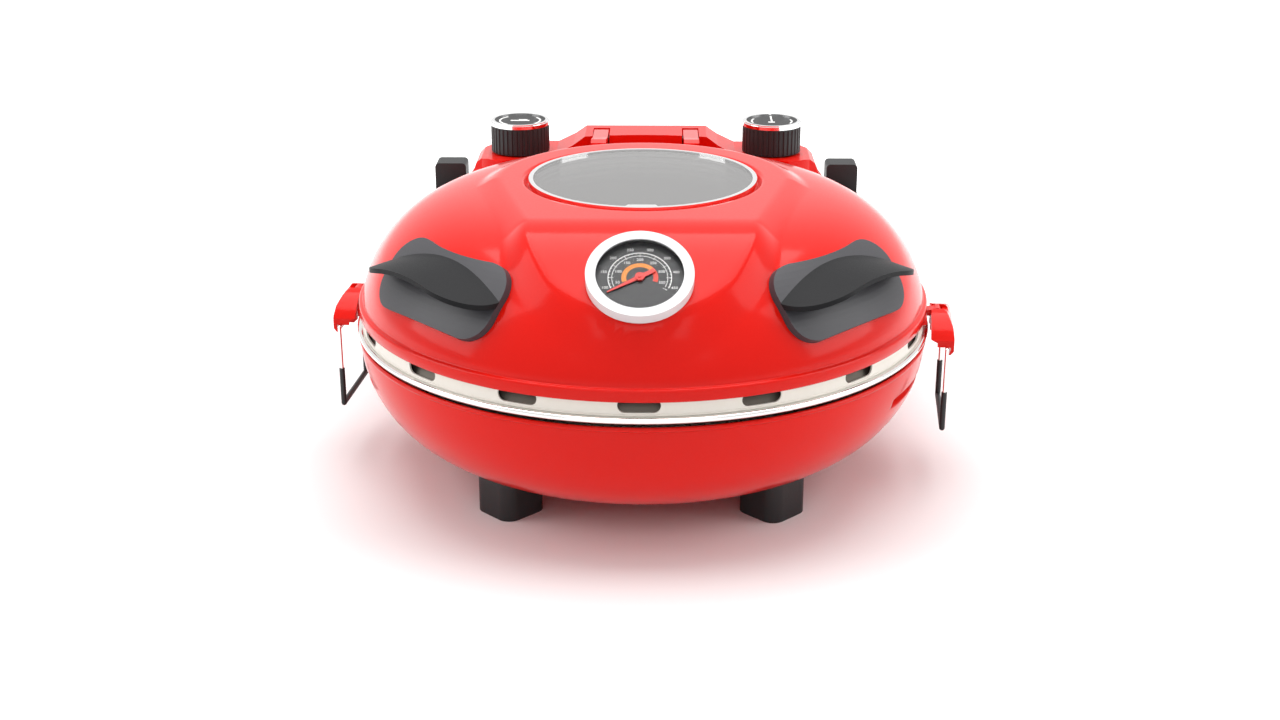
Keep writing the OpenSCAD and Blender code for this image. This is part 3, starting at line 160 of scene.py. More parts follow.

# %% [markdown]
# ## Floor
# A plain pale sheet. Where it is seen, directly or in a mirror, it gets a little light of its
# own, none under the object and more further out, so that it runs out to white. The missing glow
# round the object is painted shade: the dark patch under and around it is partly the lamps'
# shadow and partly this ramp. More lamps on the floor could do the same, but they would also
# light the object.

# %% Floor
# No glow within GLOW_START of the origin: the floor there stays darker than further out, a painted shade
# round the object.
GLOW_NEAR, GLOW_FAR, GLOW_START, GLOW_END = 0.0, 1.0, 0.17, 1.1
PAPER_TONE = 0.86
floor_mesh = bpy.data.meshes.new("floor")
corners = np.array([[-4, -3, 0], [4, -3, 0], [4, 6, 0], [-4, 6, 0]], float)
floor_mesh.from_pydata(corners.tolist(), [], [(0, 1, 2, 3)])
floor = bpy.data.objects.new("floor", floor_mesh)
bpy.context.scene.collection.objects.link(floor)
floor_finish = bpy.data.materials.new("floor_paper")
floor_finish.use_nodes = True
tree = floor_finish.node_tree
tree.nodes.clear()
paper = tree.nodes.new("ShaderNodeBsdfDiffuse")
paper.inputs["Color"].default_value = (PAPER_TONE, PAPER_TONE, PAPER_TONE, 1)
place = tree.nodes.new("ShaderNodeTexCoord")
away = tree.nodes.new("ShaderNodeVectorMath")
away.operation = "LENGTH"
ramp = tree.nodes.new("ShaderNodeMapRange")
ramp.inputs["From Min"].default_value, ramp.inputs["From Max"].default_value = GLOW_START, GLOW_END
ramp.inputs["To Min"].default_value, ramp.inputs["To Max"].default_value = GLOW_NEAR, GLOW_FAR
glow = tree.nodes.new("ShaderNodeEmission")
seen = tree.nodes.new("ShaderNodeMath")
seen.operation = "MULTIPLY"
both = tree.nodes.new("ShaderNodeAddShader")
out = tree.nodes.new("ShaderNodeOutputMaterial")
tree.links.new(place.outputs["Object"], away.inputs[0])
tree.links.new(away.outputs["Value"], ramp.inputs["Value"])
tree.links.new(ramp.outputs["Result"], seen.inputs[0])
tree.links.new(seen_share(tree), seen.inputs[1])
tree.links.new(seen.outputs[0], glow.inputs["Strength"])
tree.links.new(paper.outputs[0], both.inputs[0])
tree.links.new(glow.outputs[0], both.inputs[1])
tree.links.new(both.outputs[0], out.inputs["Surface"])
floor_mesh.materials.append(floor_finish)
print("floor laid")

# %% [markdown]
# ## Finishes
# Each finish is a Principled shader whose colour, roughness and bump come from noise on Object
# coordinates, so the grain keeps its real size on every part. A painted texture could do this
# too, but it would need a flat layout of every part. A number that is the same all over a part,
# such as the coat, is set on the shader's own socket.

# %% Numbers of the grain
GRAIN_DETAIL, NOISE_LOW, NOISE_HIGH = 3.0, 0.3, 0.7
print("the noise between", NOISE_LOW, "and", NOISE_HIGH, "sets the roughness")


# %% A finish with a noise in its colour, roughness and bump
def finish(name, color, color2, rough, rough2, grain=400.0, bump=0.0, stretch=(1, 1, 1), **sockets):
    """A node material. Noise of the size 1 / grain metres mixes color and color2 and runs the
    roughness from rough to rough2; bump is the height of the same grain in metres; stretch
    scales the noise along x, y and z, as for a brushed surface."""
    material = bpy.data.materials.new(name)
    material.use_nodes = True
    tree = material.node_tree
    shader = tree.nodes["Principled BSDF"]
    place = tree.nodes.new("ShaderNodeTexCoord")
    scale = tree.nodes.new("ShaderNodeMapping")
    scale.inputs["Scale"].default_value = stretch
    noise = tree.nodes.new("ShaderNodeTexNoise")
    noise.inputs["Scale"].default_value = grain
    noise.inputs["Detail"].default_value = GRAIN_DETAIL
    mix = tree.nodes.new("ShaderNodeMix")
    mix.data_type = "RGBA"
    mix.inputs["A"].default_value = (*color, 1)
    mix.inputs["B"].default_value = (*color2, 1)
    spread = tree.nodes.new("ShaderNodeMapRange")
    spread.inputs["From Min"].default_value = NOISE_LOW
    spread.inputs["From Max"].default_value = NOISE_HIGH
    spread.inputs["To Min"].default_value, spread.inputs["To Max"].default_value = rough, rough2
    tree.links.new(place.outputs["Object"], scale.inputs["Vector"])
    tree.links.new(scale.outputs[0], noise.inputs["Vector"])
    tree.links.new(noise.outputs["Fac"], mix.inputs["Factor"])
    tree.links.new(mix.outputs["Result"], shader.inputs["Base Color"])
    tree.links.new(noise.outputs["Fac"], spread.inputs["Value"])
    tree.links.new(spread.outputs[0], shader.inputs["Roughness"])
    if bump:
        relief = tree.nodes.new("ShaderNodeBump")
        relief.inputs["Distance"].default_value = bump
        relief.inputs["Strength"].default_value = 1.0
        tree.links.new(noise.outputs["Fac"], relief.inputs["Height"])
        tree.links.new(relief.outputs[0], shader.inputs["Normal"])
    for socket, value in sockets.items():
        shader.inputs[socket.replace("_", " ")].default_value = value
    return material


# %% [markdown]
# The reds are enamel under a thin clear coat: the coat gives the sharp highlight, the colour
# below stays deep. Steel differs from part to part by how fine it is ground, so the chrome of the
# knobs, the polished ring and the dull liner are three finishes and not one. The lining of the
# lid is brown from heat, and darker than that as painted shade, so that the vent slots look dark.

# %% The finishes of this object
red_enamel = finish("red_enamel", (0.70, 0.006, 0.002), (0.74, 0.008, 0.003), 0.30, 0.35, 900,
                    0.000004, Specular_IOR_Level=0.05, Coat_Weight=0.8, Coat_Roughness=0.12, Coat_IOR=1.25)
red_plastic = finish("red_plastic", (0.70, 0.006, 0.002), (0.74, 0.008, 0.003), 0.32, 0.38, 700,
                     0.000006, Specular_IOR_Level=0.05, Coat_Weight=0.7, Coat_Roughness=0.18, Coat_IOR=1.25)
black_plastic = finish("black_plastic", (0.004, 0.004, 0.0045), (0.008, 0.008, 0.009), 0.42, 0.55,
                       1500, 0.00004)
grip_plastic = finish("grip_plastic", (0.030, 0.029, 0.034), (0.038, 0.037, 0.043), 0.40, 0.50,
                      1800, 0.00002)
blade_plastic = finish("blade_plastic", (0.004, 0.004, 0.005), (0.007, 0.007, 0.008), 0.45, 0.55,
                       1800, 0.00001, Specular_IOR_Level=0.15)
steel = finish("steel", (0.55, 0.55, 0.54), (0.63, 0.63, 0.62), 0.25, 0.38, 300, 0.000004,
               (1, 1, 6), Metallic=1.0)
polished_steel = finish("polished_steel", (0.80, 0.79, 0.77), (0.84, 0.83, 0.81), 0.08, 0.14, 250,
                        Metallic=1.0)
chrome = finish("chrome", (0.86, 0.86, 0.86), (0.90, 0.90, 0.90), 0.05, 0.09, 300, Metallic=1.0)
element_steel = finish("element_steel", (0.09, 0.085, 0.08), (0.14, 0.13, 0.12), 0.45, 0.6, 500,
                       0.00002, Metallic=0.7)
# Brown for heat, and darker than that as painted shade behind the vent slots.
hot_shaded_steel = finish("hot_shaded_steel", (0.10, 0.085, 0.07), (0.16, 0.14, 0.115), 0.45, 0.6, 60,
                   0.00001, Metallic=0.5)
stone_clay = finish("stone_clay", (0.62, 0.52, 0.40), (0.74, 0.65, 0.52), 0.85, 0.95, 350, 0.0002)
cream_enamel = finish("cream_enamel", (0.80, 0.76, 0.68), (0.84, 0.80, 0.73), 0.28, 0.36, 300,
                      0.000004)
ceramic = finish("ceramic", (0.78, 0.75, 0.68), (0.85, 0.82, 0.76), 0.4, 0.5, 500, 0.00001)
rubber = finish("rubber", (0.012, 0.012, 0.012), (0.02, 0.02, 0.02), 0.7, 0.8, 900, 0.00003)
white_bezel = finish("white_bezel", (0.70, 0.70, 0.71), (0.75, 0.75, 0.76), 0.35, 0.42, 600,
                     Coat_Weight=0.2, Coat_Roughness=0.2)
dial_black = finish("dial_black", (0.012, 0.012, 0.013), (0.018, 0.018, 0.02), 0.4, 0.5, 900)
needle_red = finish("needle_red", (0.75, 0.03, 0.02), (0.80, 0.04, 0.03), 0.35, 0.45, 800)
print("finishes:", len(bpy.data.materials))


# %% [markdown]
# Glass is nearly clear, with a faint grey tint and, on the window, a white scatter. That scatter
# stands for haze on the pane and is also a painted reflection of the pale studio, which lightens
# the dark inside of the lid behind the window. A refracting glass shader would be truer for a
# thick block. In a thin pane the bend does not show, so these panes are straight transparency
# with gloss on it. Seen very flat, the gloss takes over and the pane turns grey.

# %% Numbers of the glass
HAZE_GRAIN, TINT_SPREAD = 40.0, 1.04
# VEIL is the tone of the white scatter on the window: haze, and a painted reflection of the pale studio.
VEIL = (0.8, 0.79, 0.78, 1)
print("haze on the glass, tone:", VEIL[:3])


# %% Glass
def clear_glass(name, tint, rough, haze_and_reflection_share, index):
    """A thin clear pane: a mix of straight transparency and gloss, by the Fresnel share
    for the given index, with haze_and_reflection_share of white scatter on its face, which
    stands for haze and is also a painted reflection of the pale studio."""
    material = bpy.data.materials.new(name)
    material.use_nodes = True
    tree = material.node_tree
    tree.nodes.clear()
    deeper = [min(1, TINT_SPREAD * c) for c in tint]
    through = tree.nodes.new("ShaderNodeBsdfTransparent")
    gloss = tree.nodes.new("ShaderNodeBsdfGlossy")
    gloss.inputs["Roughness"].default_value = rough
    place = tree.nodes.new("ShaderNodeTexCoord")
    haze = tree.nodes.new("ShaderNodeTexNoise")
    haze.inputs["Scale"].default_value = HAZE_GRAIN
    tone = tree.nodes.new("ShaderNodeMix")
    tone.data_type = "RGBA"
    tone.inputs["A"].default_value = (*tint, 1)
    tone.inputs["B"].default_value = (*deeper, 1)
    share = tree.nodes.new("ShaderNodeFresnel")
    share.inputs["IOR"].default_value = index
    mix = tree.nodes.new("ShaderNodeMixShader")
    # The veil is a white diffuse layer: haze, and a painted reflection that brightens the pane.
    veil = tree.nodes.new("ShaderNodeBsdfDiffuse")
    veil.inputs["Color"].default_value = VEIL
    pane = tree.nodes.new("ShaderNodeMixShader")
    pane.inputs["Fac"].default_value = haze_and_reflection_share
    out = tree.nodes.new("ShaderNodeOutputMaterial")
    tree.links.new(place.outputs["Object"], haze.inputs["Vector"])
    tree.links.new(haze.outputs["Fac"], tone.inputs["Factor"])
    tree.links.new(tone.outputs["Result"], through.inputs["Color"])
    tree.links.new(share.outputs[0], mix.inputs["Fac"])
    tree.links.new(through.outputs[0], pane.inputs[1])
    tree.links.new(veil.outputs[0], pane.inputs[2])
    tree.links.new(pane.outputs[0], mix.inputs[1])
    tree.links.new(gloss.outputs[0], mix.inputs[2])
    tree.links.new(mix.outputs[0], out.inputs["Surface"])
    return material


window_glass = clear_glass("window_glass", (0.90, 0.91, 0.90), 0.05, 0.25, 1.3)
lens_glass = clear_glass("lens_glass", (0.98, 0.98, 0.98), 0.05, 0.0, 1.06)
print("glass:", window_glass.name, lens_glass.name)

# %% [markdown]
# ## Finish of each CAD part
# The solids come in as loose triangles with one material each. Every node gets its finish here;
# the nodes that a finer piece stands for are hidden further down.

# %% Give the nodes their finishes
node_finish = {
    red_enamel: ["base_bowl", "lid_shell", "hinge_arms", "latch_lever_left", "latch_lever_right",
                 "latch_bracket_left", "latch_bracket_right"],
    red_plastic: ["console_housing"],
    black_plastic: ["foot_front_left", "foot_front_right", "foot_rear_left", "foot_rear_right",
                    "console_back_cover", "stand_foot_left", "stand_foot_right", "cord_gland",
                    "timer_knob", "thermostat_knob", "latch_sleeve_left", "latch_sleeve_right"],
    grip_plastic: ["handle_plate_left", "handle_plate_right"],
    blade_plastic: ["handle_grip_left", "handle_grip_right"],
    steel: ["chamber_liner", "liner_spacers", "liner_screws", "lower_element_posts",
            "foot_screws", "console_bolts", "cover_screws", "thermostat_body",
            "thermostat_probe", "timer_shaft", "thermostat_shaft",
            "upper_element_clips", "gauge_case", "gauge_stem", "handle_screws"],
    polished_steel: ["lid_rim_ring", "latch_wire_left", "latch_wire_right"],
    chrome: ["timer_knob_trim", "thermostat_knob_trim", "window_trim_ring"],
    element_steel: ["lower_element", "upper_element", "hinge_pin"],
    hot_shaded_steel: ["lid_reflector"],
    stone_clay: ["pizza_stone"],
    cream_enamel: ["lid_vent_band"],
    ceramic: ["terminal_block", "timer_body"],
    rubber: ["window_gasket"],
    white_bezel: ["gauge_bezel"],
    dial_black: ["gauge_dial"],
    needle_red: ["gauge_needle"],
    window_glass: ["window_glass"],
    lens_glass: ["gauge_lens"],
}
for material, names in node_finish.items():
    for name in names:
        for item in nodes[name].material_slots:
            item.material = material
finished = {name for names in node_finish.values() for name in names}
print("nodes with no finish:", sorted(set(nodes) - finished))


# %% [markdown]
# ## Surfaces on a grid
# Most new pieces are a sheet of points in rows and columns. Rows run along the profile and
# columns run round the object, so the last column joins the first. One function turns such an
# array into a mesh object, another gives it its body and the node it stands for.

# %% From an array of points to an object
def grid_faces(rows, cols, closed_rows, closed_cols):
    """Corner numbers of the four-sided faces between neighbouring rows and columns."""
    r = np.arange(rows if closed_rows else rows - 1)[:, None]
    c = np.arange(cols if closed_cols else cols - 1)[None, :]
    r2, c2 = (r + 1) % rows, (c + 1) % cols
    quads = np.stack([r * cols + c, r * cols + c2, r2 * cols + c2, r2 * cols + c], axis=-1)
    return quads.reshape(-1, 4)


def mesh_object(name, points, faces, material, smooth=True):
    """A mesh object at the origin from points in millimetres and an array of faces."""
    mesh = bpy.data.meshes.new(name)
    mesh.from_pydata(to_frame(points).tolist(), [], [list(map(int, f)) for f in faces])
    mesh.polygons.foreach_set("use_smooth", np.full(len(mesh.polygons), smooth))
    mesh.materials.append(material)
    mesh.update()
    item = bpy.data.objects.new(name, mesh)
    bpy.context.scene.collection.objects.link(item)
    return item


def outward(item):
    """Turns the faces of a closed mesh outwards."""
    shape = bmesh.new()
    shape.from_mesh(item.data)
    bmesh.ops.recalc_face_normals(shape, faces=shape.faces)
    shape.to_mesh(item.data)
    shape.free()
    item.data.update()
    return item


def settle(item, body, slot, *replaced):
    """Names the body that carries a piece and the nodes it stands for; its material slot is not used."""
    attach(item, body)
    if replaced:
        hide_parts(*replaced)
    print(item.name, "faces:", len(item.data.polygons))
    return item


# %% [markdown]
# ## Lid shell
# The lid is one pressed sheet: a squarish dome, a raised panel shaped like a pear that carries
# window and gauge, a round pad under the gauge, and a seat pressed in for the window. Its height
# is a formula of x and y, so the fine mesh and the coarse solid follow the same surface.

# %% Numbers of the lid's curves
DOME_POWER, DOME_ROOT = 5, 1.45
FLANK_TOP = 2.0  # how far inside its outline the panel starts to fall
PAD_EDGE, PAD_STEEP, PAD_SOFT, PAD_REACH, PAD_SHARP = 1.6, 5.0, 3.0, 4.0, 0.01
SEAT_GAP, SEAT_SOFT = 0.7, 3.0
print("the dome is", DOME_H, "mm high over a radius of", DOME_R, "mm")


# %% Height of the lid
def smooth_step(t):
    """0 below 0, 1 above 1, and 3t^2 - 2t^3 between."""
    t = np.clip(t, 0, 1)
    return t * t * (3 - 2 * t)


def soft_max(a, b, k):
    """The larger of a and b, plus (k - |a - b|)^2 / 4k where they differ by less than k."""
    h = np.maximum(0, k - np.abs(a - b))
    return np.maximum(a, b) + h * h / (4 * k)


def dome_height(r):
    """Above the lip: height times (1 - (r / radius)^power)^(1 / root), flat on top and steep
    at the edge."""
    share = np.minimum(r / DOME_R, 1)
    return LIP_TOP + DOME_H * np.maximum(0, 1 - share ** DOME_POWER) ** (1 / DOME_ROOT)


PAD_Y = GAUGE_Y - GAUGE_H * math.sin(GAUGE_TILT)
PAD_Z = GAUGE_Z - GAUGE_H * math.cos(GAUGE_TILT)
PAD_R = BEZEL_R + PAD_EDGE
SEAT_R = TRIM_R + SEAT_GAP


def pad_plane(y):
    """The sloping plane on which the gauge stands."""
    return PAD_Z + (y + PAD_Y) * math.tan(GAUGE_TILT)


def lid_height(x, y, inset=0.0):
    """The dome, raised to the panel inside a pear outline, with the gauge pad and window seat.
    The pear is a circle whose middle and radius slide evenly from the window to the gauge. The
    panel falls to the dome by a smooth step outside it. The pad is a plane with steep sides,
    joined by a soft maximum, and the seat is a smooth step down."""
    r = np.hypot(x, y)
    dome = dome_height(r)
    top = -soft_max(-PANEL_Z, -pad_plane(y), PANEL_SOFT)
    t = np.clip(-y / PANEL_FRONT_Y, 0, 1)
    outside = np.hypot(x, y + t * PANEL_FRONT_Y) - (PANEL_R + t * (PANEL_FRONT_R - PANEL_R))
    fall = smooth_step((outside + FLANK_TOP) / (FLANK_W + FLANK_TOP))
    raised = dome + np.maximum(0, top - dome) * (1 - fall)
    pad_out = np.hypot(x, (y + PAD_Y) / math.cos(GAUGE_TILT)) - PAD_R + inset
    wall = np.where(y < 0, pad_plane(y) - PAD_STEEP * np.maximum(0, pad_out), 0)
    pad = soft_max(raised, wall, PAD_SHARP + PAD_SOFT * smooth_step(pad_out / PAD_REACH))
    return pad - SEAT_DEPTH * (1 - smooth_step((r - SEAT_R) / SEAT_SOFT))


print("height over the window's edge:", float(lid_height(np.array(80.0), np.array(0.0))))

# %% [markdown]
# A pressed sheet has two faces with the wall between them. Solidify could give the wall, but the
# lip needs a shape of its own, so the outer face, the inner face and the lip are rows of one
# closed grid. The rows crowd at the rim, where the dome is steep, and the columns at the front,
# where the gauge is.

# %% Rows and columns of the lid
LID_COLUMNS, FRONT_CROWDING = 400, 0.35
RIM_BAND, RIM_STEPS = 13.0, 16
MID_OUT, MID_IN, MID_STEP = 155.5, 77.0, 1.25
SEAT_OUT, SEAT_ROWS, PANE_LAP = 76.6, 10, 1.5
turn = np.linspace(0, 2 * np.pi, LID_COLUMNS, endpoint=False)
turn = turn - FRONT_CROWDING * np.cos(turn)
rim_rows = DOME_R - RIM_BAND * (np.arange(RIM_STEPS + 1) / RIM_STEPS) ** 2
mid_rows = np.arange(MID_OUT, MID_IN, -MID_STEP)
seat_rows = np.linspace(SEAT_OUT, SEAT_R, SEAT_ROWS)
row_r = np.concatenate([rim_rows, mid_rows, seat_rows, [PANE_R - PANE_LAP]])
print("rows over the lid:", len(row_r), "columns:", LID_COLUMNS)

# %% Lid shell as two skins
LEAN_R, LEAN_SHARE, COARSE_STEP = 130.0, 0.8, 3
LIP_ROUND, LIP_DROP, LIP_EDGE, LIP_WALL, LIP_CEILING = 1.6, 1.9, 0.5, 1.2, 109.4


def ring_rows(radii, heights, columns):
    """Rows of points round the z axis: x = r cos a, y = r sin a, at the given heights."""
    radii = np.asarray(radii, float)[:, None] * np.ones(len(columns))
    heights = np.asarray(heights, float)
    heights = heights[:, None] * np.ones(len(columns)) if heights.ndim == 1 else heights
    return np.stack([radii * np.cos(columns), radii * np.sin(columns), heights], axis=-1)


def lid_skin(radii, drop):
    """Rows of the lid at the given radii, moved down and, near the rim, inwards by drop."""
    flat = ring_rows(radii, np.zeros(len(radii)), turn)
    lean = smooth_step((np.asarray(radii) - LEAN_R) / (DOME_R - LEAN_R))
    z = lid_height(flat[..., 0], flat[..., 1], drop) - drop * (1 - LEAN_SHARE * lean[:, None])
    return ring_rows(np.asarray(radii) - drop * lean, z, turn)


lip_turn = np.linspace(0, np.pi / 2, 6)
lip_round = ring_rows(LIP_R - LIP_ROUND + LIP_ROUND * np.cos(lip_turn),
                      LIP_TOP - LIP_DROP + LIP_ROUND * np.sin(lip_turn), turn)
lip_foot = ring_rows([LIP_R - LIP_EDGE, LIP_R], [LIP_Z, LIP_Z + LIP_EDGE], turn)
lip_outer = np.concatenate([lip_foot, lip_round])
lip_inner = ring_rows([DOME_R - SHELL_T, LIP_R - LIP_WALL, LIP_R - LIP_WALL],
                      [LIP_CEILING + LIP_EDGE, LIP_CEILING, LIP_Z], turn)
coarse = [rows[::COARSE_STEP] for rows in (rim_rows, mid_rows, seat_rows)]
coarse = np.concatenate([*coarse, [PANE_R - PANE_LAP]])
rows = np.concatenate([lip_outer, lid_skin(row_r, 0.0), lid_skin(coarse, SHELL_T)[::-1], lip_inner])
faces = grid_faces(len(rows), LID_COLUMNS, True, True)
lid = mesh_object("lid_shell_skin", rows.reshape(-1, 3), faces, red_enamel)
settle(outward(lid), "lid", "red", "lid_shell")

# %% [markdown]
# ## Bowl
# The bowl is spun sheet with a round side, a flat bottom and a rolled bead at the rim. On each
# side a long groove is pressed in, which the wire of the latch hooks into. A boolean cut would
# leave a sharp edge there, so the groove is part of the formula: the profile runs down the
# outside, over the bottom and back up inside, and the groove pushes both skins inwards.

# %% Bowl
GROOVE_Z, GROOVE_H, GROOVE_DEPTH, GROOVE_HALF = 71.5, 5.6, 4.2, math.radians(26)
GROOVE_FADE, GROOVE_FADE_TURN = 1.2, math.radians(1.6)
LATCH_TURN = math.radians(5.5)
BOWL_COLUMNS, OUTER_ROWS, INNER_ROWS, FINE_ANGLE = 480, 70, 44, 0.52
BEAD_START, BEAD_END, BEAD_ROWS = math.radians(200), math.radians(-60), 12
FLOOR_RING, POLE_R = 60.0, 0.01
FLAT_R = RIM_R - SIDE_ROUND
bowl_turn = np.linspace(0, 2 * np.pi, BOWL_COLUMNS, endpoint=False)


def side_profile(offset, count):
    """Quarter circle of the bowl's side from the rim to the flat bottom, moved in by offset,
    with count points beside the groove and wider steps below it."""
    a = np.linspace(0, np.pi / 2, count)
    a = np.concatenate([np.linspace(0, FINE_ANGLE, count), a[a > FINE_ANGLE + 0.01]])
    radius = SIDE_ROUND - offset
    return FLAT_R + radius * np.cos(a), RIM_Z - radius * np.sin(a)


def groove_push(azimuth, z):
    """Depth of the keeper groove: full in its middle, with a smooth step down over GROOVE_FADE in
    height and over GROOVE_FADE_TURN along the rim at its ends."""
    away = np.full(azimuth.shape, np.pi)
    for centre in (-LATCH_TURN, np.pi - LATCH_TURN):
        gap = np.abs((azimuth - centre + np.pi) % (2 * np.pi) - np.pi)
        away = np.minimum(away, gap)
    along = 1 - smooth_step((away - GROOVE_HALF) / GROOVE_FADE_TURN + 0.5)
    across = 1 - smooth_step((np.abs(z - GROOVE_Z) - GROOVE_H / 2) / GROOVE_FADE + 0.5)
    return GROOVE_DEPTH * along * across


bead_turn = np.linspace(BEAD_START, BEAD_END, BEAD_ROWS)
bead_r = RIM_R - BEAD_R / 2 + BEAD_R * np.cos(bead_turn)
bead_z = RIM_Z + BEAD_R * np.sin(bead_turn)
out_r, out_z = side_profile(0.0, OUTER_ROWS)
in_r, in_z = side_profile(BOWL_WALL, INNER_ROWS)
floor_r = [FLOOR_RING, POLE_R]
bowl_r = np.concatenate([bead_r, out_r[2:], floor_r, floor_r[::-1], in_r[:0:-1]])
bowl_z = np.concatenate([bead_z, out_z[2:], [out_z[-1]] * 2, [in_z[-1]] * 2, in_z[:0:-1]])
azimuth, height = np.meshgrid(bowl_turn, bowl_z)
push = groove_push(azimuth, height)
radii = bowl_r[:, None] - push
points = np.stack([radii * np.cos(azimuth), radii * np.sin(azimuth), height], axis=-1)
bowl = mesh_object("bowl_skin", points.reshape(-1, 3),
                   grid_faces(len(bowl_r), BOWL_COLUMNS, True, True), red_enamel)
settle(outward(bowl), "base", "red", "base_bowl")

# %% [markdown]
# ## Print on the dial
# The gauge's dial carries two scales of generic numbers with fine arcs and ticks between them,
# and a broad band, orange for hot and red for very hot. The print is thin raised mesh, like
# thick ink, so it also shows in the exported shape. The scale runs clockwise through 240 degrees
# from the lower left.

# %% Ink strips and digits on a flat face
INK = 0.08
ink_white = finish("ink_white", (0.75, 0.75, 0.74), (0.82, 0.82, 0.80), 0.5, 0.6, 1500)
ink_orange = finish("ink_orange", (0.80, 0.24, 0.03), (0.84, 0.28, 0.04), 0.5, 0.6, 1500)
ink_red = finish("ink_red", (0.72, 0.05, 0.03), (0.78, 0.07, 0.04), 0.5, 0.6, 1500)


def ink_arc(r_in, r_out, start, end, steps=48):
    """A curved strip between two radii and two angles in degrees, as a closed box of quads."""
    a = np.radians(np.linspace(start, end, steps))
    ring = [(r_in, 0), (r_out, 0), (r_out, INK), (r_in, INK)]
    points = np.stack([np.stack([r * np.cos(a), r * np.sin(a), np.full(steps, z)], -1)
                       for r, z in ring], axis=1).reshape(-1, 3)
    faces = grid_faces(steps, 4, False, True).tolist()
    return points, faces + [[0, 1, 2, 3], [4 * steps - 1 - i for i in range(4)]]


def ink_digits(text, size, x, y):
    """The outlines of a number, filled and given the thickness of the ink, centred at x, y."""
    curve = bpy.data.curves.new("digits", "FONT")
    curve.body, curve.size, curve.extrude = text, size, INK / 2
    curve.align_x, curve.align_y, curve.resolution_u = "CENTER", "CENTER", 2
    item = bpy.data.objects.new("digits", curve)
    bpy.context.scene.collection.objects.link(item)
    bpy.context.view_layer.update()
    mesh = item.to_mesh()
    points = np.array([v.co for v in mesh.vertices], float) + [x, y, INK / 2]
    faces = [list(f.vertices) for f in mesh.polygons]
    item.to_mesh_clear()
    bpy.data.objects.remove(item)
    return points, faces


def join(parts):
    """One list of points and faces from several."""
    points, faces, count = [], [], 0
    for part_points, part_faces in parts:
        points.append(part_points)
        faces += [[i + count for i in face] for face in part_faces]
        count += len(part_points)
    return np.concatenate(points), faces


def on_gauge(points, depth):
    """Points of the dial's plane, depth below the gauge's face, moved into their place."""
    x, y, z = points[:, 0], points[:, 1], points[:, 2] - depth
    c, s = math.cos(GAUGE_TILT), math.sin(GAUGE_TILT)
    return np.stack([x, c * y - s * z - GAUGE_Y, s * y + c * z + GAUGE_Z], axis=-1)


# %% [markdown]
# The ticks and numbers of both scales stand at equal shares of the sweep, so two small functions
# draw them. Typing in each place by hand would also work, but the two scales would drift apart
# as soon as one radius changed.

# %% Dial scales
DIAL_DEPTH = 3.58
SCALE_START, SCALE_SWEEP = 210.0, -240.0
TICK_HALF, DIGIT_SIZE = 0.6, 2.5
ARC_START, ARC_END = 205, -25
BAND_IN, BAND_OUT, BAND_START, BAND_SPLIT, BAND_END = 7.2, 9.8, 198, 45, -18


def scale_angle(share):
    """Bearing of a share of the scale, in degrees from the dial's right."""
    return SCALE_START + SCALE_SWEEP * share


def dial_ticks(count, long_every, long_in, short_in, outer):
    """Radial strokes at equal shares of the scale, where every long_every-th one is longer."""
    strokes = []
    for i in range(count + 1):
        a = scale_angle(i / count)
        inner = short_in if i % long_every else long_in
        strokes.append(ink_arc(inner, outer, a - TICK_HALF, a + TICK_HALF, 2))
    return strokes


def dial_numbers(count, first, step, margin, radius):
    """Numbers at equal shares of the scale, from margin of it to as much before its end."""
    digits = []
    for i in range(count):
        a = math.radians(scale_angle(margin + (1 - 2 * margin) * i / (count - 1)))
        x, y = radius * math.cos(a), radius * math.sin(a)
        digits.append(ink_digits(str(first + step * i), DIGIT_SIZE, x, y))
    return digits


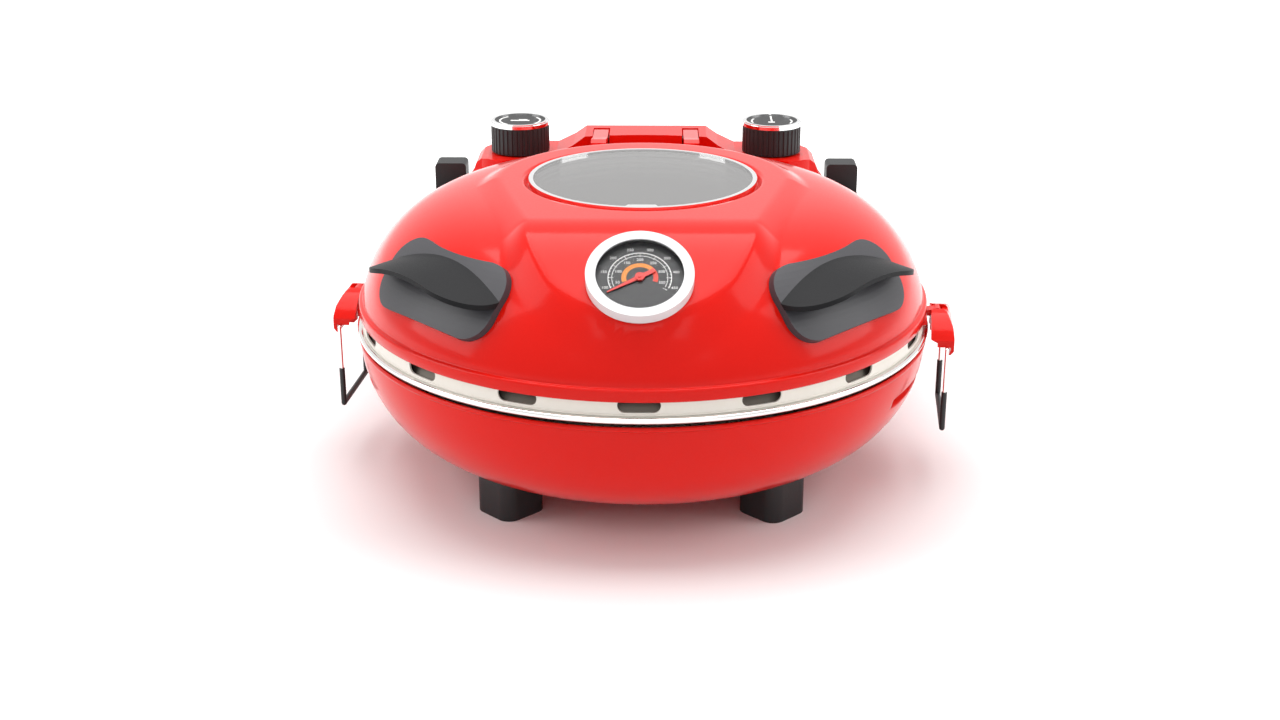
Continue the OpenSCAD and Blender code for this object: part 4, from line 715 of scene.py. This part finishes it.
white_parts = [ink_arc(16.6, 17.1, ARC_START, ARC_END), ink_arc(14.7, 15.0, ARC_START, ARC_END)]
white_parts += dial_ticks(32, 4, 15.2, 16.0, 16.7) + dial_ticks(24, 3, 14.0, 14.4, 14.8)
white_parts += dial_numbers(8, 100, 50, 0.04, 19.6) + dial_numbers(7, 50, 50, 0.06, 12.2)
orange_parts = [ink_arc(BAND_IN, BAND_OUT, BAND_START, BAND_SPLIT)]
red_parts = [ink_arc(BAND_IN, BAND_OUT, BAND_SPLIT, BAND_END)]
for name, parts, material in (
        ("dial_print_white", white_parts, ink_white),
        ("dial_print_orange", orange_parts, ink_orange),
        ("dial_print_red", red_parts, ink_red)):
    points, faces = join(parts)
    item = mesh_object(name, on_gauge(points, DIAL_DEPTH), faces, material, smooth=False)
    settle(outward(item), "lid", "white" if material is ink_white else "needle")

# %% [markdown]
# ## Marks on the knobs
# The top of each knob is dark with a few white strokes: two arcs and two short bars on the
# timer, and a thin pointer, a short bar and two arcs on the thermostat. They are
# the same thin raised ink as on the dial, so they need no picture.

# %% Knob marks
KNOB_X, KNOB_Y, KNOB_TOP = 87.0, 175.0, 174.12


def ink_bar(x0, x1, y0, y1):
    """A flat upright box of ink between two corners."""
    base = np.array([[x0, y0], [x1, y0], [x1, y1], [x0, y1]], float)
    points = np.concatenate([np.c_[base, np.zeros(4)], np.c_[base, np.full(4, INK)]])
    sides = [[i, (i + 1) % 4, (i + 1) % 4 + 4, i + 4] for i in range(4)]
    return points, [[3, 2, 1, 0], [4, 5, 6, 7], *sides]


timer_marks = [ink_arc(13.2, 14.6, 130, 235), ink_arc(13.2, 14.6, -40, 40),
               ink_bar(-6.5, 6.5, -1.6, 1.0), ink_bar(-1.0, 5.0, 1.4, 3.2)]
heat_marks = [ink_bar(-0.6, 0.6, -2, 15.5), ink_bar(-2.6, 2.0, -4.5, -1.6),
              ink_arc(13.2, 14.4, 150, 200), ink_arc(13.2, 14.4, -30, 20)]
for body, side, parts in (("timer_knob", -1, timer_marks), ("thermostat_knob", 1, heat_marks)):
    points, faces = join(parts)
    item = mesh_object(body + "_marks", points + [side * KNOB_X, KNOB_Y, KNOB_TOP], faces, ink_white,
                       smooth=False)
    settle(outward(item), body, "white")

# %% Colour view
bpy.context.scene.view_settings.view_transform = "Standard"
